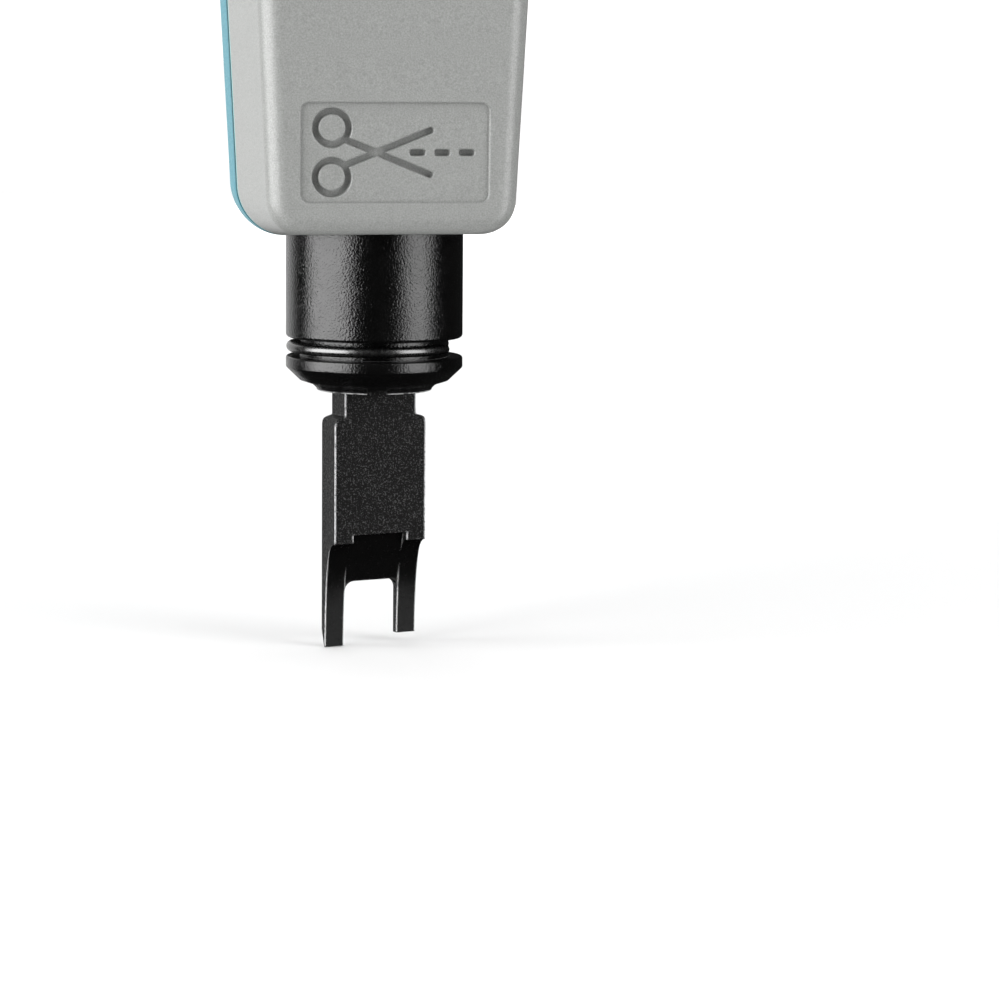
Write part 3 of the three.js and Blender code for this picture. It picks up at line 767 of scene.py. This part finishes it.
def shears_picture():
    """Engraved shears and a dashed line, which mark the trimming side of the blade."""
    stroke, flare, floor = 0.62, 0.09, -1.05
    eye_r, eye_x, eye_y = 1.6, -6.1, 2.35
    arm_length, arm_x, arm_y, arm_angle = 9.2, -0.55, 0.5, 22
    dash_length = 1.5
    top = -PANEL_DEPTH
    shapes = []
    for side in (1, -1):
        inner, outer = eye_r - stroke / 2, eye_r + stroke / 2
        eye = [
            (inner, floor), (outer, floor), (outer, top - flare), (outer + flare, top),
            (outer + flare, 1), (inner - flare, 1), (inner - flare, top), (inner, top - flare),
        ]
        shapes.append(shift(turned("eye", eye, 48), eye_x, side * eye_y))
        shapes.append(flared_prism(
            "arm", arm_length, stroke, 0.28, floor, top, flare, (arm_x, side * arm_y),
            side * arm_angle))
    for x in (2.2, 4.6, 7.0):
        shapes.append(flared_prism("dash", dash_length, stroke, 0.25, floor, top, flare, (x, 0)))
    return combine(shapes[0], shapes[1:], "UNION")


def panel_cutter():
    panel = flared_prism("panel", *PANEL_SIZE, 0.8, -PANEL_DEPTH, 0, 0.1)
    return on_front(combine(panel, [shears_picture()], "UNION"), PANEL_Z)


STEM_HALF, STEM_HEIGHT = 2.0, 3.0  # the stem of the force selector
SELECTOR_MIDDLE = (SELECTOR_LOW.z + SELECTOR_HIGH.z) / 2


def selector_slot():
    """Half the width of the slot for the selector's stem, and its lower and upper end."""
    gap = 0.3
    travel = joint_travel_mm("force_select")
    low = SELECTOR_MIDDLE - travel - STEM_HEIGHT / 2 - gap
    return STEM_HALF + gap, low, low + travel + STEM_HEIGHT + 2 * gap


def selector_cutters():
    """Field, slot and two force marks of the force selector."""
    gap = 0.3
    x = SELECTOR_HIGH.x + gap
    travel = joint_travel_mm("force_select")
    low, high = SELECTOR_LOW.z - travel - gap, SELECTOR_HIGH.z + gap
    middle = (low + high) / 2
    floor = SELECTOR_LOW.y + 2.2
    outline = [(a, b + middle) for a, b in rounded_rectangle(2 * x, high - low, 1.4, 8)]
    field = prism("field", outline, -20, floor)
    half, slot_low, slot_high = selector_slot()
    slot = block("slot", (-half, half), (-20, 0), (slot_low, slot_high))
    marks = []
    for z, r in ((high + 3.2, 0.75), (low - 3.6, 1.35)):
        y = -front_depth(z)
        marks.append(bar_along_y("mark", r, 0, z, y - 1, y + 0.4))
    return [field, slot, *marks]


def thumb_grooves():
    """Shallow cross grooves on the front face above and below the selector."""
    count, pitch, groove_r, sink = 5, 3.4, 1.6, 0.5
    cutters = []
    for first in (88.0, 147.0):
        for i in range(count):
            z = first + pitch * i
            y = -front_depth(z) - groove_r + sink
            span = 7.2 - 0.55 * abs(i - 2)
            outline = [
                (y + groove_r * math.cos(2 * math.pi * k / 32),
                 z + groove_r * math.sin(2 * math.pi * k / 32)) for k in range(32)
            ]
            cutters.append(prism("thumb_groove", outline, -span, span, "YZ"))
    return cutters


def front_shell():
    shell = loft("front_shell_body", shell_rings(front_half_outline(), True))
    cutters = hollow_cutters() + screw_bores() + selector_cutters() + thumb_grooves()
    combine(shell, [panel_cutter(), *cutters])
    dress(smooth(shell), "grey_plastic", "handle", "front_shell")


def grip_grooves():
    """Grooves of even depth round the back, with rounded ends."""
    first, count, pitch, width, depth = 92, 9, 6.5, 2.2, 0.75
    last = first + (count - 1) * pitch
    slabs = []
    for i in range(count):
        z = first + i * pitch
        outline = [(a, b + z) for a, b in rounded_rectangle(20, width, width / 2 - 0.01, 8)]
        slabs.append(prism("slab", outline, SEAM_Y + 1, 20))
    grooves = combine(slabs[0], slabs[1:], "UNION")
    whole = mirrored(front_half_outline() + back_half_outline())
    levels = [first - 3 + (last - first + 6) * i / 40 for i in range(41)]
    core = loft("core", [section(whole, z, depth, depth) for z in levels])
    return combine(grooves, [core])


def rear_shell():
    shell = loft("rear_shell_body", shell_rings(back_half_outline(), False))
    floor = SCREW["seat"] - 0.3
    sinks = [bar_along_y("sink", SCREW["sink"], x, z, floor, 20) for x, z in SCREW_PLACES]
    combine(shell, [*hollow_cutters(), *screw_bores(), *sinks, grip_grooves()])
    dress(smooth(shell), "teal_plastic", "handle", "rear_shell", "teal_shell_seam_shade")


def shell_screws():
    drive_long, drive_short, drive_depth = 1.35, 0.3, 1.1
    seat, top = SCREW["seat"], SCREW["top"]
    for i, (x, z) in enumerate(SCREW_PLACES):
        head = bar_along_y("screw_head", SCREW["head"], x, z, seat, top, 48)
        shank = bar_along_y("screw_shank", SCREW["shank"], x, z, SCREW["tip"], seat + 0.5, 32)
        screw = combine(head, [shank], "UNION")
        screw.name = f"shell_screw_{i + 1}_body"
        drives = [
            block("drive", (x - a, x + a), (top - drive_depth, top + 1), (z - b, z + b))
            for a, b in ((drive_long, drive_short), (drive_short, drive_long))
        ]
        combine(screw, drives)
        bevelled(screw, 0.12, 2)
        dress(smooth(screw), "steel", "handle", f"shell_screw_{i + 1}")


# ------------------------------------------------------------------ plunger


def arc_points(centre, r, start, end, count=5):
    return [
        (centre[0] + r * math.cos(math.radians(start + (end - start) * i / count)),
         centre[1] + r * math.sin(math.radians(start + (end - start) * i / count)))
        for i in range(count + 1)
    ]


def plunger_body():
    edge = 0.22
    groove_edge = 0.35
    r = BARREL_R
    flange_low, flange_high, tail_r = 59.4, 61.6, 5.2
    lip = [
        (0, Z_LIP), (5.62, Z_LIP), (5.7, Z_LIP + 0.04), (5.73, Z_LIP + 0.2), (6.12, 26.28),
        (6.3, 26.36),
    ]
    cone = [(7.4, 26.72), (r - 0.12, 27.9), *arc_points((r - edge, 28.1), edge, -20, 0, 2)]
    groove = [
        *arc_points((r - edge, GROOVE_LOW - edge), edge, 0, 90), (NECK_R, GROOVE_LOW),
        (NECK_R, GROOVE_HIGH),
        *arc_points((r - groove_edge, GROOVE_HIGH + groove_edge), groove_edge, -90, 0),
    ]
    tail = [
        (r, flange_low), (FLANGE_R, flange_low), (FLANGE_R, flange_high), (tail_r, flange_high),
        (tail_r, PLUNGER_TOP), (0, PLUNGER_TOP),
    ]
    body = turned("plunger_barrel", lip + cone + groove + tail, 128)
    socket = [
        (0, Z_LIP - 1), (SOCKET_R + 0.15, Z_LIP - 1), (SOCKET_R + 0.15, Z_LIP),
        (SOCKET_R, Z_LIP + 0.15), (SOCKET_R, SOCKET_TOP), (0, SOCKET_TOP),
    ]
    key_r, key_half, key_angle = 6.4, 0.95, 262.5
    lock_low, lock_high = 32.2, 34.6
    lock_groove = [(0, lock_low), (key_r, lock_low), (key_r, lock_high), (0, lock_high)]
    keyway = block("keyway", (-key_r, key_r), (-key_half, key_half), (Z_LIP - 1, lock_high))
    stem_r, stem_low = 2.8, 52
    stem_bore = [(0, stem_low), (stem_r, stem_low), (stem_r, PLUNGER_TOP + 1), (0, PLUNGER_TOP + 1)]
    pin_r, pin_z = 0.7, 30.225
    pin_bore = prism("pin_bore", circle(0, pin_z, pin_r), -8.4, -4.4, "YZ")
    combine(body, [
        turned("socket", socket), turned("lock_groove", lock_groove), turn(keyway, key_angle),
        turned("stem_bore", stem_bore), turn(pin_bore, RING_TURN),
    ])
    dress(smooth(body), "black_barrel", "plunger", "plunger_body")


def detent_ring():
    low, high = box_mm("detent_ring")
    middle_z = (low.z + high.z) / 2
    r, wire, offset, gap_half = 7.95, 0.51, -0.25, 24
    steps = 90
    path = []
    for i in range(steps + 1):
        angle = math.radians(gap_half + (360 - 2 * gap_half) * i / steps)
        path.append((r * math.cos(angle) + offset, r * math.sin(angle), middle_z))
    ring = turn(tube("detent_ring_wire", path, wire, 16), RING_TURN)
    dress(smooth(bevelled(ring, 0.1, 2, 60)), "ring_wire", "plunger", "detent_ring")


def coil_path(r, wire, low, high, coils):
    """The middle line of a coil spring whose first and last turns lie flat."""
    steps = 36 * coils
    path = []
    for i in range(steps + 1):
        t = i / steps
        flat = 1 / coils
        climb = min(max((t - flat) / (1 - 2 * flat), 0), 1)
        ease = climb * 0.92 + 0.08 * (3 * climb ** 2 - 2 * climb ** 3)
        lift = wire * 2.02 * (min(t / flat, 1) + max(0, (t - 1 + flat) / flat)) * 0.5
        z = low + wire + (high - low - 4.1 * wire) * ease + lift
        angle = 2 * math.pi * coils * t
        path.append((r * math.cos(angle), r * math.sin(angle), z))
    return path


def coil(name, path, wire, node):
    """A stretch of spring, built as a round bar along the path."""
    piece = smooth(tube(name, path, wire, 10))
    dress(piece, "steel", "handle", node)
    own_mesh(piece)


def springs():
    low, high = box_mm("return_spring")
    r, wire, coils = 8.3, 0.55, 6
    path = coil_path(r, wire, low.z, high.z, coils)
    coil("return_coil", path, wire, "return_spring")
    low, high = box_mm("main_spring")
    r, wire, coils, upper_length = 5.2, 0.75, 4, 7.7
    path = coil_path(r, wire, low.z, high.z, coils)
    still = high.z - upper_length  # the level that neither joint moves
    lower = [point for point in path if point[2] <= still]
    upper = path[len(lower) - 1:]
    coil("main_coil_lower", lower, wire, "main_spring")
    coil("main_coil_upper", upper, wire, "main_spring")


# ------------------------------------------------------------------ blades
LUG = {"r": 6.1, "width": 1.3, "z": (32.5, 34.3)}
SHANK_R = 4.6
PRONG_GAP = 5.9


def blade(name, width, neck, thickness, step, top):
    """A blade facing -Y with its tips at z = 0."""
    half, neck_half, back, gap_half = width / 2, neck / 2, thickness / 2, PRONG_GAP / 2
    over = 1
    shoulder = [(half, 0), (half, 22.4), (half - 0.06, 22.7), (half - 0.22, 22.94),
                (half - 0.5, 23.08), (neck_half + 0.15, 23.2), (neck_half + 0.03, 23.26),
                (neck_half, 23.4), (neck_half, 27.6)]
    outline = shoulder + [(-x, z) for x, z in reversed(shoulder)]
    body = prism(name, outline, -back, back)
    face = [
        (-back - over, step), (-back, step), (-back + 0.45, step - 0.12),
        (-back + 0.85, step - 0.4), (-back + 1.15, step - 0.8), (-back + 1.38, step - 1.35),
        (-back + 1.6, step - 2.2), (-back + 1.82, step - 3.4), (-back + 2.0, step - 5.0),
        (-back + 2.15, step - 7.2), (-back + 2.3, -over), (-back - over, -over),
    ]
    web_low = 6.5
    grind = prism("grind", face, -half - over, half + over, "YZ")
    relief = prism("relief", [
        (-back - over, step + 0.8), (-back + 0.55, step + 0.8), (-back + 0.9, step + 0.6),
        (back - 1.0, web_low + 0.2), (back - 1.0, -over), (-back - over, -over),
    ], -gap_half, gap_half, "YZ")
    gap_outline = [(-gap_half, -over), (gap_half, -over), (gap_half, web_low - 1)]
    gap_outline += arc_points((gap_half - 1, web_low - 1), 1, 0, 90, 6)[1:]
    gap_outline += arc_points((-gap_half + 1, web_low - 1), 1, 90, 180, 6)
    gap = prism("gap", gap_outline, -back - over, back + over)
    blunt = block("blunt", (gap_half - 0.1, half + over), (-back - over, back + over), (-over, 0.9))
    edge = [(back + over, 1.7), (back, 1.7), (back - 0.6, -0.01), (back - 0.6, -over),
            (back + over, -over)]
    bevel = prism("edge", edge, -half - over, -gap_half + 0.1, "YZ")
    combine(body, [grind, relief, gap, blunt, bevel])
    shank_profile = [(0, 27), (SHANK_R - 0.4, 27), (SHANK_R, 27.4), (SHANK_R, top - 0.6),
                     (SHANK_R - 0.6, top), (0, top)]
    lug = block("lug", (-LUG["r"], LUG["r"]), (-LUG["width"] / 2, LUG["width"] / 2), LUG["z"])
    combine(body, [turned("shank", shank_profile, 64), lug], "UNION")
    return smooth(bevelled(body, 0.14, 2, 40))


def mark_ground_faces(piece, step, back):
    """Gives the faces of the hollow grind, below the step, the second material."""
    piece.data.materials.append(MATERIALS["blade_ground"])
    for face in piece.data.polygons:
        centre = face.center / MM
        inside = centre.z < step + 0.75 and -back + 0.05 < centre.y < back - 0.3
        facing = face.normal.y < -0.2 or face.normal.z < -0.5
        if inside and facing:
            face.material_index = 1


def punch_blade():
    width, neck, thickness, step, locked_turn = 10, 7.8, 3, 10.6, 16
    piece = blade("punch_blade_body", width, neck, thickness, step, BLADE_TOP)
    dress(piece, "black_blade", "blade", "punch_blade")
    mark_ground_faces(piece, step, thickness / 2)
    turn(piece, locked_turn)


def spare_blade():
    width, neck, thickness, step = 9.4, 7.2, 2.6, 9.5
    spare = blade("spare_blade_body", width, neck, thickness, step, BLADE_TOP)
    dress(spare, "black_blade", "cap", "spare_blade")
    mark_ground_faces(spare, step, thickness / 2)
    shift(spare, z=SPARE_TIP)


# ------------------------------------------------------------------ selector and cap


def force_selector():
    """Thumb slider: a plate with a hollowed, ribbed top and a stem."""
    face, middle = SELECTOR_LOW.y, SELECTOR_MIDDLE
    width, height = 2 * SELECTOR_HIGH.x, SELECTOR_HIGH.z - SELECTOR_LOW.z
    plate_outline = [(a, b + middle) for a, b in rounded_rectangle(width, height, 1.2, 8)]
    plate = prism("force_slider", plate_outline, face + 0.9, face + 1.9)
    ribs = []
    rib_pitch, rib_height = 1.8, 0.95
    for i in (-2, -1, 0, 1, 2):
        z = middle + rib_pitch * i
        outline = [(a, b + z) for a, b in rounded_rectangle(width - 2, rib_height, 0.3, 4)]
        ribs.append(prism("rib", outline, face, face + 1.2))
    stem_end = -3.8
    stem_z = (middle - STEM_HEIGHT / 2, middle + STEM_HEIGHT / 2)
    stem = block("stem", (-STEM_HALF, STEM_HALF), (face + 1.5, stem_end), stem_z)
    combine(plate, [*ribs, stem], "UNION")
    bevelled(plate, 0.13, 2, 40)
    dress(smooth(plate), "dark_plastic", "selector", "force_selector")


CAP_DOME = 5.5


def storage_cap():
    gap = 0.22
    low = Z_CAP + gap
    whole = mirrored(front_half_outline() + back_half_outline())
    edge = 0.45
    levels = [low + share * edge for share in (0, 0.15, 0.45, 1)]
    straight_top = Z_TOP - CAP_DOME
    levels += [levels[-1] + (straight_top - levels[-1]) * i / 6 for i in range(1, 7)]
    levels += [straight_top + CAP_DOME * math.sin(math.pi / 2 * i / 14) for i in range(1, 15)]
    rings = []
    for z in levels:
        inset = fillet_inset(z - low, edge) + fillet_inset(Z_TOP - z, CAP_DOME)
        rings.append(section(whole, z, inset, inset))
    cap = loft("storage_cap_body", rings)
    plug_r, plug_low, chamfer = 8.6, 161, 0.4
    seat_r, seat_low, seat_high = 7.7, 165.2, 167.8  # groove of the rubber ring
    plug = [
        (0, plug_low), (plug_r - chamfer, plug_low), (plug_r, plug_low + chamfer),
        (plug_r, seat_low), (seat_r, seat_low), (seat_r, seat_high), (plug_r, seat_high),
        (plug_r, low + 1), (0, low + 1),
    ]
    combine(cap, [turned("plug", plug)], "UNION")
    bore_r, bore_top = 6.7, 182.5
    below = plug_low - 1
    bore = [(0, below), (bore_r, below), (bore_r, bore_top), (0, bore_top)]
    grip_r, grip_low, grip_pitch = 0.8, 175.4, 1.9
    grip_x = half_width(Z_CAP) * side_x(0) / HALF_WIDTH + 0.45
    grips = []
    for side in (1, -1):
        for i in range(4):
            outline = circle(side * grip_x, grip_low + grip_pitch * i, grip_r)
            grips.append(prism("cap_grip", outline, -7, 6.5))
    combine(cap, [turned("bore", bore), *grips])
    dress(smooth(cap), "teal_plastic", "cap", "storage_cap")


# ------------------------------------------------------------------ inner turned pieces


def inner_pieces():
    """Turned pieces inside the tool: name, slot, body, profile."""
    chamber = CHAMBER_R - 0.3
    tube_in, tube_out = 6.7, TUBE_R
    guide_low, guide_high = box_mm("guide_tube")
    rows = (
        ("nose_seal", "rubber", "handle", [
            (NOSE_R, 54.3), (NOSE_R - 0.12, 54.6), (NOSE_R - 0.12, 55.4), (NOSE_R, 55.7),
            (chamber - 0.3, 55.7), (chamber, 55.4), (chamber, 54.6), (chamber - 0.3, 54.3)]),
        ("stroke_bumper", "rubber", "handle", [
            (NOSE_R, 57.9), (NOSE_R, 59.1), (chamber - 0.2, 59.1), (chamber, 58.9),
            (chamber, 58.1), (chamber - 0.2, 57.9)]),
        ("guide_bush", "brass", "handle", [
            (2.8, 75), (2.8, 80.5), (6.2, 80.5), (6.4, 80.3), (6.4, 76.9), (chamber - 0.2, 76.9),
            (chamber, 76.7), (chamber, 75.2), (chamber - 0.2, 75)]),
        ("guide_tube", "steel", "handle", [
            (tube_in, guide_low.z), (tube_in, guide_high.z), (tube_out - 0.3, guide_high.z),
            (tube_out, guide_high.z - 0.3), (tube_out, guide_low.z + 0.3),
            (tube_out - 0.3, guide_low.z)]),
        ("trip_ring", "steel", "handle", [
            (6.1, 92), (5, 95), (5, 96), (6.2, 96), (6.4, 95.8), (6.4, 92)]),
        ("guide_tube_plug", "steel", "handle", [
            (0, 130.7), (6.2, 130.7), (6.4, 130.9), (6.4, 133.5), (6.2, 133.7), (0, 133.7)]),
        ("striker_stem", "steel", "plunger", [
            (0, 52.3), (2.5, 52.3), (2.5, 83.5), (2.0, 84), (0, 84)]),
        ("hammer", "steel", "hammer_group", [
            (2.8, 86.4), (2.8, 96.5), (0.01, 96.5), (0.01, 104), (5.9, 104), (6.4, 103.5),
            (6.4, 97.7), (6.2, 97.5), (4.6, 97.5), (4.6, 86.6), (4.4, 86.4)]),
        ("cap_seal", "rubber", "cap", [
            (8.0, 165.5), (8.0, 167.5), (8.5, 167.5), (8.75, 167.2), (8.75, 165.8), (8.5, 165.5)]),
        ("blade_cradle", "dark_plastic", "cap", [
            (5.1, 165), (4.9, 165.3), (4.9, 172.7), (5.1, 173), (6.3, 173), (6.4, 172.9),
            (6.4, 165.1), (6.3, 165)]),
    )
    for node, slot, body, profile in rows:
        piece = turned(f"{node}_turned", profile, 80)
        if node == "guide_tube":
            half, low, high = selector_slot()
            combine(piece, [block("slot", (-half, half), (-20, 0), (low, high))])
        dress(smooth(piece), slot, body, node)


def kept_cad_nodes():
    """Small inner nodes whose CAD shape is shown as it is."""
    for node in ("detent_pin", "latch_plate", "spring_seat"):
        obj = frame["nodes"][node]
        obj.data.materials.clear()
        obj.data.materials.append(MATERIALS["steel"])


# ------------------------------------------------------------------ studio


def area_light(name, azimuth, height, distance, size, radiance, in_highlights=True):
    """A softbox at an azimuth from the front of the tool, in degrees, positive to the right.

    Height, distance and size are in metres."""
    data = bpy.data.lights.new(name, "AREA")
    data.shape = "RECTANGLE"
    data.size, data.size_y = size
    data.energy = radiance * math.pi * size[0] * size[1]
    light = bpy.data.objects.new(name, data)
    angle = math.radians(azimuth)
    light.location = (distance * math.sin(angle), -distance * math.cos(angle), height)
    towards = Vector((0, 0, height if height < 1 else 0)) - light.location
    light.rotation_euler = towards.to_track_quat("-Z", "Y").to_euler()
    light.visible_camera = False
    light.visible_glossy = in_highlights
    bpy.context.scene.collection.objects.link(light)


def studio():
    radius = 6000
    level = -0.05
    rim = [(x, y, level) for x, y in circle(0, 0, radius, 64)]
    floor = mesh_object("floor", rim, [tuple(range(len(rim)))])
    surface = Surface("floor", 0.9, 0.0, specular=0.0)
    distance = surface.node("ShaderNodeVectorMath", operation="LENGTH")
    surface.feed(distance, _0=surface.coordinates)
    fade_from, fade_to = 0.25, 1.4
    far = surface.span(distance.outputs["Value"], fade_from, fade_to)
    seen = surface.node("ShaderNodeLightPath").outputs["Is Camera Ray"]
    surface.tree.links.new(surface.maths("MULTIPLY", far, seen),
                           surface.shader.inputs["Emission Strength"])
    surface.shader.inputs["Emission Color"].default_value = (1, 1, 1, 1)
    surface.shader.inputs["Base Color"].default_value = (0.75, 0.75, 0.75, 1)
    floor.data.materials.append(surface.material)
    floor.visible_glossy = False
    floor.visible_shadow = False

    area_light("key_left", -73, 0.28, 0.75, (0.87, 0.95), 5.4)
    area_light("key_right", 48, 0.28, 0.75, (0.48, 0.95), 3.9)
    area_light("back_left", -160, 0.15, 0.9, (0.75, 0.95), 0.85)
    area_light("back_fill", 175, 0.3, 0.9, (0.9, 0.9), 2.2, in_highlights=False)
    area_light("right_fill", 115, 0.3, 0.9, (0.7, 0.9), 2.0, in_highlights=False)
    area_light("top", 0, 1.1, 0.1, (1.3, 1.3), 1.7, in_highlights=False)

    seen_white, diffuse_fill, base = 1.2, 0.08, 0.02
    world = bpy.data.worlds.new("studio")
    world.use_nodes = True
    tree = world.node_tree
    path = tree.nodes.new("ShaderNodeLightPath")
    strength = tree.nodes.new("ShaderNodeMath")
    strength.operation = "MULTIPLY_ADD"
    strength.inputs[1].default_value = seen_white
    fill = tree.nodes.new("ShaderNodeMath")
    fill.operation = "MULTIPLY_ADD"
    fill.inputs[1].default_value = diffuse_fill
    fill.inputs[2].default_value = base
    tree.links.new(path.outputs["Is Camera Ray"], strength.inputs[0])
    tree.links.new(path.outputs["Is Diffuse Ray"], fill.inputs[0])
    tree.links.new(fill.outputs[0], strength.inputs[2])
    background = tree.nodes["Background"]
    background.inputs["Color"].default_value = (1, 1, 1, 1)
    tree.links.new(strength.outputs[0], background.inputs["Strength"])
    bpy.context.scene.world = world
    bpy.context.scene.view_settings.view_transform = "Standard"


def camera():
    """The camera stands a little left of the front, above the blade, and looks slightly down."""
    azimuth, distance, height = -10.32, 0.357, 0.0613
    pitch, yaw, roll = -7.44, 2.02, 0.45
    data = bpy.data.cameras.new("camera")
    data.sensor_width = 36
    data.lens = 130
    obj = bpy.data.objects.new("camera", data)
    angle = math.radians(azimuth)
    obj.location = (distance * math.sin(angle), -distance * math.cos(angle), height)
    obj.rotation_mode = "QUATERNION"
    turn_z = Matrix.Rotation(math.radians(azimuth - yaw), 4, "Z")
    tilt_x = Matrix.Rotation(math.radians(90 + pitch), 4, "X")
    roll_z = Matrix.Rotation(math.radians(roll), 4, "Z")
    obj.rotation_quaternion = (turn_z @ tilt_x @ roll_z).to_quaternion()
    bpy.context.scene.collection.objects.link(obj)
    bpy.context.scene.camera = obj


front_shell()
rear_shell()
shell_screws()
plunger_body()
detent_ring()
springs()
punch_blade()
spare_blade()
force_selector()
storage_cap()
inner_pieces()
kept_cad_nodes()
studio()
camera()
